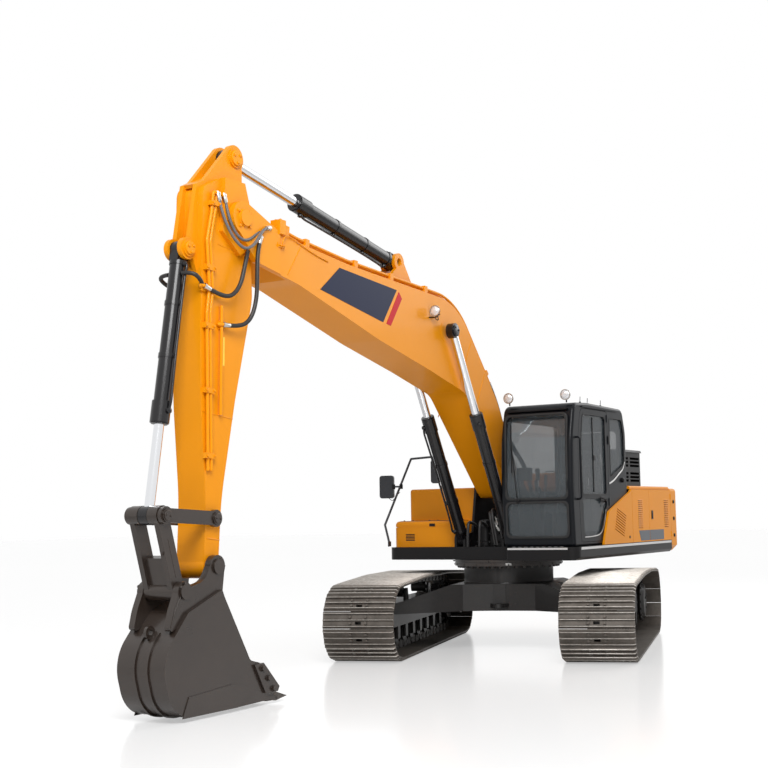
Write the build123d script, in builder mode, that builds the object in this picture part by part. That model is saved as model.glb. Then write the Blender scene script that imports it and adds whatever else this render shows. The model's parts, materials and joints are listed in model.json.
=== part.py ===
from build123d import *
from math import atan2, cos, degrees, hypot, radians, sin, tan
import os

# Crawler excavator of the 22 tonne class, in millimetres, +Z up.
# The upper structure and the boom lie along +X; the undercarriage stands turned below them.
# Every position is measured from the swing axis at ground level; save() moves the whole
# machine so that the origin is under the middle of its outline.

os.makedirs("parts", exist_ok=True)

# ---- driving dimensions: boom, arm, bucket ---------------------------------------------
# pins as (x, z)
BOOM_FOOT = (200.0, 1930.0)
BOOM_TIP = (5417.0, 4226.0)
ARM_TAIL_PIN = (5355.0, 4800.0)
BUCKET_PIN = (5750.0, 1211.0)
BUCKET_LINK_PIN = (6155.0, 1027.0)
IDLER_ARM_PIN = (5730.0, 1610.0)
ROD_LINK_PIN = (6345.0, 1642.0)
BOOM_CYL_FOOT = (560.0, 1302.0)
BOOM_CYL_ROD = (1850.0, 3630.0)
ARM_CYL_FOOT = (2590.0, 4310.0)
BUCKET_CYL_FOOT = (5975.0, 3880.0)
BOOM_CYL_Y = 318.0
BOOM_HALF_WIDTH = 235.0
ARM_HALF_WIDTH = 190.0
ARM_BEAM_HALF = 148.0
BUCKET_HALF_WIDTH = 250.0
BUCKET_REACH = 1475.0
BUCKET_SHELL = 22.0
BUCKET_SIDE = 24.0
TOOTH_COUNT = 3
MAIN_PIN_RADIUS = 55.0
TIP_PIN_RADIUS = 51.0
BUCKET_PIN_RADIUS = 41.0
PIN_FIT = 1.0

# ---- driving dimensions: undercarriage -------------------------------------------------
UNDERCARRIAGE_YAW = 16.7
GAUGE = 2590.0
SHOE_WIDTH = 800.0
SHOE_COUNT = 49
SHOE_PLATE = 14.0
GROUSER_HEIGHT = 42.0
CHAIN_HEIGHT = 95.0
CHAIN_RAIL_WIDTH = 46.0
CHAIN_RAIL_OFFSET = 70.0
IDLER_X = 1710.0
SPROCKET_X = -1700.0
TUMBLER_RADIUS = 383.0
CARRIER_TOP_Z = 856.0
CARRIER_X = (520.0, -620.0)
CARRIER_RADIUS = 62.0
ROLLER_RADIUS = 78.0
ROLLER_COUNT = 8
ROLLER_FRONT_X = 1245.0
ROLLER_REAR_X = -1190.0
ROLLER_FLANGE = 20.0
WHEEL_GAP = 2.0
FRAME_HALF_WIDTH = 140.0
FRAME_BOTTOM_Z = 318.0
FRAME_TOP_Z = 590.0
CARBODY_TOP_Z = 780.0
CARBODY_BOTTOM_Z = 470.0
PEDESTAL_RADIUS = 545.0
PEDESTAL_WALL = 110.0
PEDESTAL_TOP_Z = 985.0
SLEW_RING_RADIUS = 655.0
SLEW_RING_WIDTH = 200.0
SLEW_RING_TOP_Z = 1060.0
TOW_EYE_BORE = 60.0

# ---- driving dimensions: upper structure -----------------------------------------------
FIT = 3.0
SWING_GAP = 5.0
SIDE_PANEL_PLATE = 27.0
PANEL = 40.0
GLASS = 8.0
DECK_BOTTOM_Z = SLEW_RING_TOP_Z + SWING_GAP
DECK_TOP_Z = 1215.0
DECK_HALF_WIDTH = 1330.0
DECK_REAR_X = -2150.0
DECK_NOSE_X = 645.0
CAB_FRONT_X = 900.0
CAB_REAR_X = -720.0
CAB_INNER_Y = BOOM_CYL_Y + 84.0
CAB_OUTER_Y = DECK_HALF_WIDTH - SIDE_PANEL_PLATE - FIT
CAB_ROOF_Z = 2865.0
CAB_WALL = 50.0
DOOR_REAR_X = -130.0
DOOR_FRONT_X = 720.0
DOOR_GAP = 6.0
TANK_FRONT_X = 120.0
TANK_TOP_Z = 1930.0
TOOLBOX_FRONT_X = 500.0
TOOLBOX_HEIGHT = 315.0
SIDE_PANEL_TOP_Z = 1870.0
PUMP_BAY_FRONT_X = CAB_REAR_X - 30.0
COUNTERWEIGHT_FRONT_X = DECK_REAR_X - FIT
COUNTERWEIGHT_SIDE_X = -2400.0
COUNTERWEIGHT_REAR_X = -2750.0
COUNTERWEIGHT_TOP_Z = 1890.0
COVER_PLATE = 40.0
COVER_TOP_Z = SIDE_PANEL_TOP_Z + FIT + COVER_PLATE

FRONT_END = 6440.0
SWING_X = -(COUNTERWEIGHT_REAR_X + FRONT_END) / 2

UPPER = Pos(SWING_X, 0, 0)
LOWER = Pos(SWING_X, 0, 0) * Rot(0, 0, UNDERCARRIAGE_YAW)


def save(piece, label, place=UPPER):
    """Moves a finished piece from the swing axis to the machine's origin and writes it."""
    moved = place * piece.part
    moved.label = label
    export_step(moved, "parts/" + label + ".step")


def side_plane(y):
    """Upright plane along the machine at the given y; sketches on it use (x, z)."""
    return Plane(origin=(0, y, 0), x_dir=(1, 0, 0), z_dir=(0, -1, 0))


def polar(centre, radius, angle):
    return (centre[0] + radius * cos(radians(angle)), centre[1] + radius * sin(radians(angle)))


def distance(a, b):
    return hypot(b[0] - a[0], b[1] - a[1])


def direction(a, b):
    return degrees(atan2(b[1] - a[1], b[0] - a[0]))


def along(start, end, run, side=0.0):
    """Point on the line from start to end, and a side step to its left."""
    turn = direction(start, end)
    return polar(polar(start, run, turn), side, turn + 90)


def spanned(start, end, rows):
    """Outline rows (share of the line from start to end, share of it to the left, ...)."""
    span = distance(start, end)
    return [(*along(start, end, row[0] * span, row[1] * span), *row[2:]) for row in rows]


def turn_at(before, corner, after):
    return (direction(corner, after) - direction(before, corner) + 180) % 360 - 180


def corner_inward(before, corner, after, depth):
    """The corner moved to the left of both its edges by depth."""
    half = turn_at(before, corner, after) / 2
    return polar(corner, depth / cos(radians(half)), direction(before, corner) + half + 90)


def neighbours(points):
    """Each point of a closed loop between the one before and the one after it."""
    return zip(points[-1:] + points[:-1], points, points[1:] + points[:1])


def rounded(corners):
    """Closed line through (x, z, corner radius) rows, drawn in the current line."""
    arcs = []
    for before, corner, after in neighbours(corners):
        turn = turn_at(before, corner, after)
        reach = corner[2] * tan(radians(abs(turn) / 2))
        start = along(corner, before, reach)
        end = along(corner, after, reach)
        rise = corner[2] * (1 / cos(radians(turn / 2)) - 1)
        middle = along(corner, ((start[0] + end[0]) / 2, (start[1] + end[1]) / 2), rise)
        arcs.append((start, middle, end))
    for (_, _, left), (start, middle, end) in zip(arcs[-1:] + arcs[:-1], arcs):
        Line(left, start)
        if distance(start, end) > 0.01:
            ThreePointArc(start, middle, end)


def bar_outline(start, end, start_radius, end_radius):
    """Flat bar with round ends, drawn in the current side sketch."""
    turn = direction(start, end)
    Polygon(
        polar(start, start_radius, turn + 90),
        polar(start, start_radius, turn - 90),
        polar(end, end_radius, turn - 90),
        polar(end, end_radius, turn + 90),
        align=None,
    )
    with Locations(start):
        Circle(start_radius)
    with Locations(end):
        Circle(end_radius)


# ---- tracks ----------------------------------------------------------------------------
TUMBLER_Z = GROUSER_HEIGHT + TUMBLER_RADIUS
ARC_STEPS = 24
# One shoe's outer outline: share of the shoe's length, height over its inner face.
SHOE_OUTLINE = [
    (0.06, SHOE_PLATE),
    (0.13, GROUSER_HEIGHT),
    (0.20, SHOE_PLATE),
    (0.43, SHOE_PLATE),
    (0.50, GROUSER_HEIGHT),
    (0.57, SHOE_PLATE),
    (0.80, SHOE_PLATE),
    (0.87, GROUSER_HEIGHT),
    (0.94, SHOE_PLATE),
]


def tangent_angle(centre, point, radius, rising):
    """Angle on a circle where the line to an outside point leaves it."""
    base = direction(centre, point)
    swing = degrees(atan2((distance(centre, point) ** 2 - radius ** 2) ** 0.5, radius))
    return base + swing if rising else base - swing


def wheel_arc(centre, start, end):
    """Points on a tumbler's shoe circle from one angle to another."""
    turn = (end - start) / ARC_STEPS
    return [polar(centre, TUMBLER_RADIUS, start + turn * n) for n in range(ARC_STEPS + 1)]


def track_path():
    """Closed list of (x, z) along the shoes' inner face."""
    front = (IDLER_X, TUMBLER_Z)
    rear = (SPROCKET_X, TUMBLER_Z)
    carriers = [(carrier_x, CARRIER_TOP_Z) for carrier_x in CARRIER_X]
    front_leave = tangent_angle(front, carriers[0], TUMBLER_RADIUS, False)
    rear_meet = tangent_angle(rear, carriers[-1], TUMBLER_RADIUS, True)
    points = wheel_arc(front, -90, front_leave) + carriers + wheel_arc(rear, rear_meet, 270)
    return points + points[:1]


def shoe_joints():
    """Where the path is cut into equal shoes."""
    path = track_path()
    lengths = [distance(a, b) for a, b in zip(path, path[1:])]
    pitch = sum(lengths) / SHOE_COUNT
    joints = []
    run = 0.0
    for (start, end), length in zip(zip(path, path[1:]), lengths):
        while len(joints) < SHOE_COUNT and len(joints) * pitch <= run + length:
            joints.append(along(start, end, len(joints) * pitch - run))
        run += length
    return joints


JOINTS = shoe_joints()
OUTLINE = [
    along(start, end, distance(start, end) * share, -height)
    for start, end in zip(JOINTS, JOINTS[1:] + JOINTS[:1])
    for share, height in SHOE_OUTLINE
]
CHAIN_INNER = [corner_inward(*corner, CHAIN_HEIGHT) for corner in neighbours(JOINTS)]
TRACK_SIDES = {"left": GAUGE / 2, "right": -GAUGE / 2}

for side, track_y in TRACK_SIDES.items():
    with BuildPart() as track:
        with BuildSketch(side_plane(track_y)):
            Polygon(*OUTLINE, align=None)
            Polygon(*JOINTS, align=None, mode=Mode.SUBTRACT)
        extrude(amount=SHOE_WIDTH / 2, both=True)
        for rail_y in (-CHAIN_RAIL_OFFSET, CHAIN_RAIL_OFFSET):
            with BuildSketch(side_plane(track_y + rail_y)):
                Polygon(*JOINTS, align=None)
                Polygon(*CHAIN_INNER, align=None, mode=Mode.SUBTRACT)
            extrude(amount=CHAIN_RAIL_WIDTH / 2, both=True)
    save(track, "track_" + side, LOWER)

# ---- wheels that carry the tracks ------------------------------------------------------
RAIL_IN = CHAIN_RAIL_OFFSET - CHAIN_RAIL_WIDTH / 2
RAIL_OUT = CHAIN_RAIL_OFFSET + CHAIN_RAIL_WIDTH / 2
CHORD_SAG = 11.0
CARRIER_SAG = 6.0
IDLER_TREAD = TUMBLER_RADIUS - CHAIN_HEIGHT - WHEEL_GAP - CHORD_SAG
IDLER_RIB = 45.0
IDLER_RIM = 40.0
IDLER_DISH = 50.0
IDLER_HUB = 95.0
IDLER_AXLE = 60.0
SPROCKET_TEETH = 21
SPROCKET_HUB = 215.0
ROLLER_LIP = 14.0
ROLLER_Z = GROUSER_HEIGHT + CHAIN_HEIGHT + WHEEL_GAP + ROLLER_RADIUS
CARRIER_Z = CARRIER_TOP_Z - CHAIN_HEIGHT - WHEEL_GAP - CARRIER_SAG - CARRIER_RADIUS
AXLE_REACH = FRAME_HALF_WIDTH - 27.0
ROLLER_PITCH = (ROLLER_FRONT_X - ROLLER_REAR_X) / (ROLLER_COUNT - 1)
ROLLER_XS = [ROLLER_REAR_X + n * ROLLER_PITCH for n in range(ROLLER_COUNT)]

for side, track_y in TRACK_SIDES.items():
    idler_centre = Location((IDLER_X, TUMBLER_Z))
    with BuildPart() as idler:
        with BuildSketch(side_plane(track_y)):
            with Locations(idler_centre):
                Circle(IDLER_TREAD)
        extrude(amount=RAIL_OUT, both=True)
        with BuildSketch(side_plane(track_y)):
            with Locations(idler_centre):
                Circle(IDLER_TREAD + IDLER_RIB)
        extrude(amount=RAIL_IN - WHEEL_GAP, both=True)
        for face_y in (-1, 1):
            with BuildSketch(side_plane(track_y + face_y * RAIL_OUT)):
                with Locations(idler_centre):
                    Circle(IDLER_TREAD - IDLER_RIM)
                    Circle(IDLER_HUB, mode=Mode.SUBTRACT)
            extrude(amount=face_y * IDLER_DISH, mode=Mode.SUBTRACT)
        with BuildSketch(side_plane(track_y)):
            with Locations(idler_centre):
                Circle(IDLER_AXLE)
        extrude(amount=AXLE_REACH, both=True)
    save(idler, "idler_" + side, LOWER)

    sprocket_centre = Location((SPROCKET_X, TUMBLER_Z))
    with BuildPart() as sprocket:
        with BuildSketch(side_plane(track_y)):
            with Locations(sprocket_centre):
                Circle(IDLER_TREAD - 6)
                with PolarLocations(IDLER_TREAD + 10, SPROCKET_TEETH):
                    Trapezoid(50, 62, 74, rotation=-90)
        extrude(amount=RAIL_IN - 2 * WHEEL_GAP, both=True)
        with BuildSketch(side_plane(track_y)):
            with Locations(sprocket_centre):
                Circle(SPROCKET_HUB)
        extrude(amount=AXLE_REACH, both=True)
    save(sprocket, "sprocket_" + side, LOWER)

    with BuildPart() as rollers:
        with BuildSketch(side_plane(track_y)):
            with Locations(*[(roller_x, ROLLER_Z) for roller_x in ROLLER_XS]):
                Circle(ROLLER_RADIUS)
        extrude(amount=RAIL_OUT + WHEEL_GAP, both=True)
        for face_y in (-1, 1):
            with BuildSketch(side_plane(track_y + face_y * (RAIL_OUT + WHEEL_GAP))):
                with Locations(*[(roller_x, ROLLER_Z) for roller_x in ROLLER_XS]):
                    Circle(ROLLER_RADIUS + ROLLER_FLANGE)
            extrude(amount=-face_y * ROLLER_LIP)
        with BuildSketch(side_plane(track_y)):
            with Locations(*[(carrier_x, CARRIER_Z) for carrier_x in CARRIER_X]):
                Circle(CARRIER_RADIUS)
        extrude(amount=RAIL_OUT, both=True)
    save(rollers, "rollers_" + side, LOWER)

# ---- track frames ----------------------------------------------------------------------
FRAME_FRONT_X = 1330.0
SPROCKET_PLATE_X = -1420.0
FORK_PLATE = 25.0
FORK_HEIGHT = 90.0
FORK_NOSE = 70.0
HANGER_WIDTH = 100.0
HANGER_DROP = 45.0
WELD = 5.0
ROLLER_RECESS_Z = ROLLER_Z + ROLLER_RADIUS + ROLLER_FLANGE + 8
POST_FOOT = 90.0
POST_HEAD = 45.0
CARRIER_PIN = 26.0
MOTOR_RADIUS = 150.0
MOTOR_LENGTH = 170.0

for side, track_y in TRACK_SIDES.items():
    inboard = -1 if track_y > 0 else 1
    with BuildPart() as track_frame:
        with BuildSketch(side_plane(track_y)):
            Polygon(
                (SPROCKET_PLATE_X + 80, FRAME_BOTTOM_Z),
                (FRAME_FRONT_X, FRAME_BOTTOM_Z),
                (FRAME_FRONT_X, FRAME_TOP_Z - 40),
                (FRAME_FRONT_X - 220, FRAME_TOP_Z),
                (SPROCKET_PLATE_X + 260, FRAME_TOP_Z),
                (SPROCKET_PLATE_X + 80, FRAME_TOP_Z - 60),
                align=None,
            )
        extrude(amount=FRAME_HALF_WIDTH, both=True)
        # recess over the rollers
        with BuildSketch(side_plane(track_y)):
            Polygon(
                (SPROCKET_X, FRAME_BOTTOM_Z - WELD),
                (IDLER_X, FRAME_BOTTOM_Z - WELD),
                (IDLER_X, ROLLER_RECESS_Z),
                (SPROCKET_X, ROLLER_RECESS_Z),
                align=None,
            )
        extrude(amount=AXLE_REACH - WELD, both=True, mode=Mode.SUBTRACT)
        for face_y in (-1, 1):
            # idler fork and the lugs that hold the bottom rollers
            with BuildSketch(side_plane(track_y + face_y * (FRAME_HALF_WIDTH - FORK_PLATE))):
                Polygon(
                    (FRAME_FRONT_X - 200, TUMBLER_Z - FORK_HEIGHT),
                    (IDLER_X - FORK_NOSE, TUMBLER_Z - FORK_HEIGHT),
                    (IDLER_X + FORK_NOSE, TUMBLER_Z - FORK_HEIGHT / 2),
                    (IDLER_X + FORK_NOSE, TUMBLER_Z + FORK_HEIGHT / 2),
                    (IDLER_X - FORK_NOSE, TUMBLER_Z + FORK_HEIGHT),
                    (FRAME_FRONT_X - 200, TUMBLER_Z + FORK_HEIGHT),
                    align=None,
                )
                hanger_top = FRAME_BOTTOM_Z + WELD
                hanger_bottom = ROLLER_Z - HANGER_DROP
                for roller_x in ROLLER_XS:
                    with Locations((roller_x, (hanger_top + hanger_bottom) / 2)):
                        Rectangle(HANGER_WIDTH, hanger_top - hanger_bottom)
            extrude(amount=-face_y * FORK_PLATE)
        # posts and pins of the carrier rollers
        post_y = track_y + inboard * (FRAME_HALF_WIDTH - FORK_PLATE)
        for carrier_x in CARRIER_X:
            with BuildSketch(side_plane(post_y)):
                Polygon(
                    (carrier_x - POST_FOOT, FRAME_TOP_Z - WELD),
                    (carrier_x - POST_HEAD, CARRIER_Z + POST_HEAD),
                    (carrier_x + POST_HEAD, CARRIER_Z + POST_HEAD),
                    (carrier_x + POST_FOOT, FRAME_TOP_Z - WELD),
                    align=None,
                )
            extrude(amount=-inboard * FORK_PLATE)
            with BuildSketch(side_plane(post_y)):
                with Locations((carrier_x, CARRIER_Z)):
                    Circle(CARRIER_PIN)
            extrude(amount=inboard * (FRAME_HALF_WIDTH - FORK_PLATE - RAIL_OUT))
        # final drive: plate and motor case
        with BuildSketch(side_plane(track_y + inboard * AXLE_REACH)):
            Polygon(
                (SPROCKET_PLATE_X + 120, FRAME_BOTTOM_Z + 20),
                (SPROCKET_X, TUMBLER_Z - 190),
                (SPROCKET_X, TUMBLER_Z + 190),
                (SPROCKET_PLATE_X + 120, FRAME_TOP_Z - 40),
                align=None,
            )
            with Locations((SPROCKET_X, TUMBLER_Z)):
                Circle(SPROCKET_HUB)
        extrude(amount=-inboard * (FRAME_HALF_WIDTH - AXLE_REACH))
        with BuildSketch(side_plane(track_y + inboard * FRAME_HALF_WIDTH)):
            with Locations((SPROCKET_X, TUMBLER_Z)):
                Circle(MOTOR_RADIUS)
        extrude(amount=-inboard * MOTOR_LENGTH)
    save(track_frame, "track_frame_" + side, LOWER)

# ---- carbody and slew ring -------------------------------------------------------------
FRAME_INNER_Y = GAUGE / 2 - FRAME_HALF_WIDTH
LEG_TOP_Y = 560.0
CARBODY_END_X = 640.0
# quarter of the plan, from the front middle round to the side: x, y
LEG_OUTLINE = [
    (CARBODY_END_X, 0),
    (CARBODY_END_X + 50, 430),
    (1180, FRAME_INNER_Y),
    (CARBODY_END_X, FRAME_INNER_Y),
    (330, 690),
    (0, 600),
]
TOW_EYE_X = CARBODY_END_X + 80.0
TOW_EYE_RADIUS = 70.0
TOW_EYE_Z = CARBODY_BOTTOM_Z + 40.0
TOW_EYE_PLATE = 45.0

with BuildPart() as carbody:
    with BuildSketch(Plane.XY.offset(CARBODY_BOTTOM_Z)):
        Polygon(
            *LEG_OUTLINE,
            *[(-x, y) for x, y in reversed(LEG_OUTLINE[:-1])],
            *[(-x, -y) for x, y in LEG_OUTLINE[1:]],
            *[(x, -y) for x, y in reversed(LEG_OUTLINE[1:-1])],
            align=None,
        )
    extrude(amount=CARBODY_TOP_Z - CARBODY_BOTTOM_Z)
    # legs slope down to the track frames
    for face_y in (-1, 1):
        with BuildSketch(Plane.YZ.offset(-LEG_OUTLINE[2][0])):
            Polygon(
                (face_y * LEG_TOP_Y, CARBODY_TOP_Z + 1),
                (face_y * (FRAME_INNER_Y + 1), CARBODY_TOP_Z + 1),
                (face_y * (FRAME_INNER_Y + 1), FRAME_TOP_Z - 10),
                align=None,
            )
        extrude(amount=2 * LEG_OUTLINE[2][0], mode=Mode.SUBTRACT)
    with BuildSketch(Plane.XY.offset(CARBODY_TOP_Z - WELD)):
        Circle(PEDESTAL_RADIUS)
    extrude(amount=PEDESTAL_TOP_Z - CARBODY_TOP_Z + WELD)
    # upright gussets in the middle of both ends
    for end in (-1, 1):
        with Locations((end * CARBODY_END_X, 0, (CARBODY_TOP_Z + CARBODY_BOTTOM_Z) / 2)):
            Box(30, 150, CARBODY_TOP_Z - CARBODY_BOTTOM_Z)
    with BuildSketch(Plane.XY.offset(CARBODY_BOTTOM_Z)):
        Circle(PEDESTAL_RADIUS - PEDESTAL_WALL)
    extrude(amount=PEDESTAL_TOP_Z, mode=Mode.SUBTRACT)
    # towing eyes at both ends
    for end in (-1, 1):
        with BuildSketch(Plane.XY.offset(TOW_EYE_Z)):
            Polygon(
                (end * (CARBODY_END_X - 20), -130),
                (end * TOW_EYE_X, -TOW_EYE_RADIUS),
                (end * TOW_EYE_X, TOW_EYE_RADIUS),
                (end * (CARBODY_END_X - 20), 130),
                align=None,
            )
            with Locations((end * TOW_EYE_X, 0)):
                Circle(TOW_EYE_RADIUS)
        extrude(amount=TOW_EYE_PLATE)
        with Locations((end * TOW_EYE_X, 0, TOW_EYE_Z)):
            Cylinder(TOW_EYE_BORE / 2, 3 * TOW_EYE_PLATE, mode=Mode.SUBTRACT)
save(carbody, "carbody", LOWER)

RING_GROOVE_Z = (PEDESTAL_TOP_Z + SLEW_RING_TOP_Z) / 2
with BuildPart() as slew_ring:
    with BuildSketch(Plane.XY.offset(PEDESTAL_TOP_Z)):
        Circle(SLEW_RING_RADIUS)
        Circle(SLEW_RING_RADIUS - SLEW_RING_WIDTH, mode=Mode.SUBTRACT)
    extrude(amount=SLEW_RING_TOP_Z - PEDESTAL_TOP_Z)
    # seal groove between the fixed and the turning ring
    with BuildSketch(Plane.XY.offset(RING_GROOVE_Z)):
        Circle(SLEW_RING_RADIUS)
        Circle(SLEW_RING_RADIUS - 14, mode=Mode.SUBTRACT)
    extrude(amount=8, mode=Mode.SUBTRACT)
save(slew_ring, "slew_ring", LOWER)

# ---- swing deck ------------------------------------------------------------------------
DECK_CORNER = 110.0
DECK_SKIRT = 35.0
TOWER_INNER_Y = BOOM_HALF_WIDTH + 7.0
TOWER_PLATE = 31.0
CYL_LUG_PLATE = 30.0
CYL_EYE_HALF = 40.0
CYL_LUG_RADIUS = 84.0
CYL_LUG_Y = BOOM_CYL_Y + CYL_EYE_HALF + FIT
CYL_PIN_RADIUS = 46.0
BOOM_FOOT_BOSS = 135.0

with BuildPart() as deck:
    with BuildSketch(Plane.XY.offset(DECK_BOTTOM_Z)):
        with BuildLine():
            rounded([
                (DECK_REAR_X, -DECK_HALF_WIDTH, 0),
                (DECK_NOSE_X, -DECK_HALF_WIDTH, DECK_CORNER),
                (DECK_NOSE_X, CAB_INNER_Y - FIT, 0),
                (CAB_FRONT_X + 20, CAB_INNER_Y + 40, 30),
                (CAB_FRONT_X + 20, DECK_HALF_WIDTH, DECK_CORNER),
                (DECK_REAR_X, DECK_HALF_WIDTH, 0),
            ])
        make_face()
    extrude(amount=DECK_TOP_Z - DECK_BOTTOM_Z)
    # bevel along the lower edge of both sides
    for face_y in (-1, 1):
        with BuildSketch(Plane.YZ.offset(DECK_REAR_X)):
            Polygon(
                (face_y * (DECK_HALF_WIDTH - DECK_SKIRT), DECK_BOTTOM_Z),
                (face_y * (DECK_HALF_WIDTH + 1), DECK_BOTTOM_Z),
                (face_y * (DECK_HALF_WIDTH + 1), DECK_BOTTOM_Z + DECK_SKIRT),
                align=None,
            )
        extrude(amount=2 * (CAB_FRONT_X - DECK_REAR_X), mode=Mode.SUBTRACT)
save(deck, "deck")

with BuildPart() as boom_tower:
    for face_y in (-1, 1):
        with BuildSketch(side_plane(face_y * TOWER_INNER_Y)):
            Polygon(
                (-700, DECK_TOP_Z),
                (-420, DECK_TOP_Z + 330),
                (BOOM_FOOT[0] - 125, BOOM_FOOT[1] + 30),
                (BOOM_FOOT[0] + 125, BOOM_FOOT[1] + 30),
                (BOOM_FOOT[0] + 190, DECK_TOP_Z + 420),
                (BOOM_CYL_FOOT[0] - 125, BOOM_CYL_FOOT[1] + 90),
                (BOOM_CYL_FOOT[0] - 30, BOOM_CYL_FOOT[1] + 75),
                (BOOM_CYL_FOOT[0] + CYL_LUG_RADIUS, BOOM_CYL_FOOT[1]),
                (BOOM_CYL_FOOT[0] + CYL_LUG_RADIUS, DECK_TOP_Z),
                align=None,
            )
            with Locations(BOOM_FOOT):
                Circle(BOOM_FOOT_BOSS)
        extrude(amount=-face_y * TOWER_PLATE)
        # outer lug of the boom cylinder's foot
        with BuildSketch(side_plane(face_y * CYL_LUG_Y)):
            with Locations(BOOM_CYL_FOOT):
                Circle(CYL_LUG_RADIUS)
            with Locations((BOOM_CYL_FOOT[0], (BOOM_CYL_FOOT[1] + DECK_TOP_Z) / 2)):
                Rectangle(2 * CYL_LUG_RADIUS, BOOM_CYL_FOOT[1] - DECK_TOP_Z)
        extrude(amount=-face_y * CYL_LUG_PLATE)
    # strips that join the plates along the deck
    with BuildSketch(Plane.XY.offset(DECK_TOP_Z)):
        with Locations((-400, 0)):
            Rectangle(40, 2 * TOWER_INNER_Y + 2)
        for face_y in (-1, 1):
            lug_outer_y = CYL_LUG_Y + CYL_LUG_PLATE
            with Locations((BOOM_CYL_FOOT[0] - 4, face_y * (TOWER_INNER_Y + lug_outer_y) / 2)):
                Rectangle(160, lug_outer_y - TOWER_INNER_Y)
    extrude(amount=2)
    with BuildSketch(side_plane(0)):
        with Locations(BOOM_FOOT):
            Circle(MAIN_PIN_RADIUS + PIN_FIT)
        with Locations(BOOM_CYL_FOOT):
            Circle(CYL_PIN_RADIUS)
    extrude(amount=CYL_LUG_Y + CYL_LUG_PLATE, both=True, mode=Mode.SUBTRACT)
save(boom_tower, "boom_tower")

# ---- boom ------------------------------------------------------------------------------
TIP_SLOT_HALF = ARM_HALF_WIDTH + 6.0
TIP_SLOT_RADIUS = 355.0
TIP_BOSS = 150.0
TIP_EAR_HALF = BOOM_HALF_WIDTH + 15.0
BRACKET_INNER = 55.0
BRACKET_PLATE = 40.0
BRACKET_EYE = 95.0
ROD_BOSS = 120.0
ROD_BOSS_PLATE = 3.0
# share of the line from foot pin to tip pin, share to its left, corner radius
BOOM_OUTLINE = [
    (-0.0070, 0.0232, 40),
    (0.1467, 0.1300, 600),
    (0.3698, 0.2306, 900),
    (0.7224, 0.0932, 1500),
    (0.8610, 0.0466, 1500),
    (0.9131, 0.0312, 0),
    (0.9544, 0.0097, 0),
    (0.9469, -0.0462, 0),
    (0.8339, -0.0177, 900),
    (0.5886, 0.0199, 1500),
    (0.4130, 0.0552, 1500),
    (0.2730, 0.0802, 320),
    (0.0136, -0.0213, 0),
]
TIP_OUTLINE = [
    (0.9144, 0.0306),
    (1.0038, 0.0261),
    (1.0000, -0.0262),
    (0.9469, -0.0462),
    (0.8856, -0.0304),
]
TIP_SLOT_OUTLINE = [
    (0.9280, 0.0650),
    (0.9131, 0.0312),
    (0.9396, 0.0174),
    (0.8346, -0.0395),
    (1.0040, -0.1141),
    (1.0577, 0.0079),
]
BRACKET_OUTLINE = [(0.4748, 0.1859), (0.5405, 0.2221), (0.5563, 0.1970), (0.5820, 0.1464)]

with BuildPart() as boom:
    with BuildSketch(side_plane(0)):
        with BuildLine():
            rounded(spanned(BOOM_FOOT, BOOM_TIP, BOOM_OUTLINE))
        make_face()
        with Locations(BOOM_FOOT):
            Circle(BOOM_FOOT_BOSS)
    extrude(amount=BOOM_HALF_WIDTH, both=True)
    with BuildSketch(side_plane(0)):
        Polygon(*spanned(BOOM_FOOT, BOOM_TIP, TIP_OUTLINE), align=None)
        with Locations(BOOM_TIP):
            Circle(TIP_BOSS)
    extrude(amount=TIP_EAR_HALF, both=True)
    # slot for the arm between the tip's ears
    with BuildSketch(side_plane(0)):
        with Locations(BOOM_TIP):
            Circle(TIP_SLOT_RADIUS)
        Polygon(*spanned(BOOM_FOOT, BOOM_TIP, TIP_SLOT_OUTLINE), align=None)
    extrude(amount=TIP_SLOT_HALF, both=True, mode=Mode.SUBTRACT)
    # bracket of the arm cylinder on the boom's back
    for face_y in (-1, 1):
        with BuildSketch(side_plane(face_y * BRACKET_INNER)):
            Polygon(*spanned(BOOM_FOOT, BOOM_TIP, BRACKET_OUTLINE), align=None)
            with Locations(ARM_CYL_FOOT):
                Circle(BRACKET_EYE)
        extrude(amount=-face_y * BRACKET_PLATE)
    # reinforced seat of the boom cylinders' upper pin
    with BuildSketch(side_plane(0)):
        with Locations(BOOM_CYL_ROD):
            Circle(ROD_BOSS)
    extrude(amount=BOOM_HALF_WIDTH + ROD_BOSS_PLATE, both=True)
    with BuildSketch(side_plane(0)):
        with Locations(ARM_CYL_FOOT):
            Circle(BUCKET_PIN_RADIUS + PIN_FIT)
        with Locations(BOOM_TIP):
            Circle(TIP_PIN_RADIUS + PIN_FIT)
        with Locations(BOOM_FOOT):
            Circle(MAIN_PIN_RADIUS + PIN_FIT)
    extrude(amount=TIP_EAR_HALF, both=True, mode=Mode.SUBTRACT)
save(boom, "boom")

# ---- oil pipes and work lamp on the boom -----------------------------------------------
PIPE_RADIUS = 15.0
PIPE_RISE = 50.0
PIPE_BEND = 950.0
PIPE_PAIR_Y = (146.0, 196.0)
PIPE_START = 200.0
PIPE_END = 240.0
CLAMP_LENGTH = 60.0
CLAMP_CAP = 26.0
CLAMP_SEAT = 1.0
NOSE_CLAMP_CAP = 60.0
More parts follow.
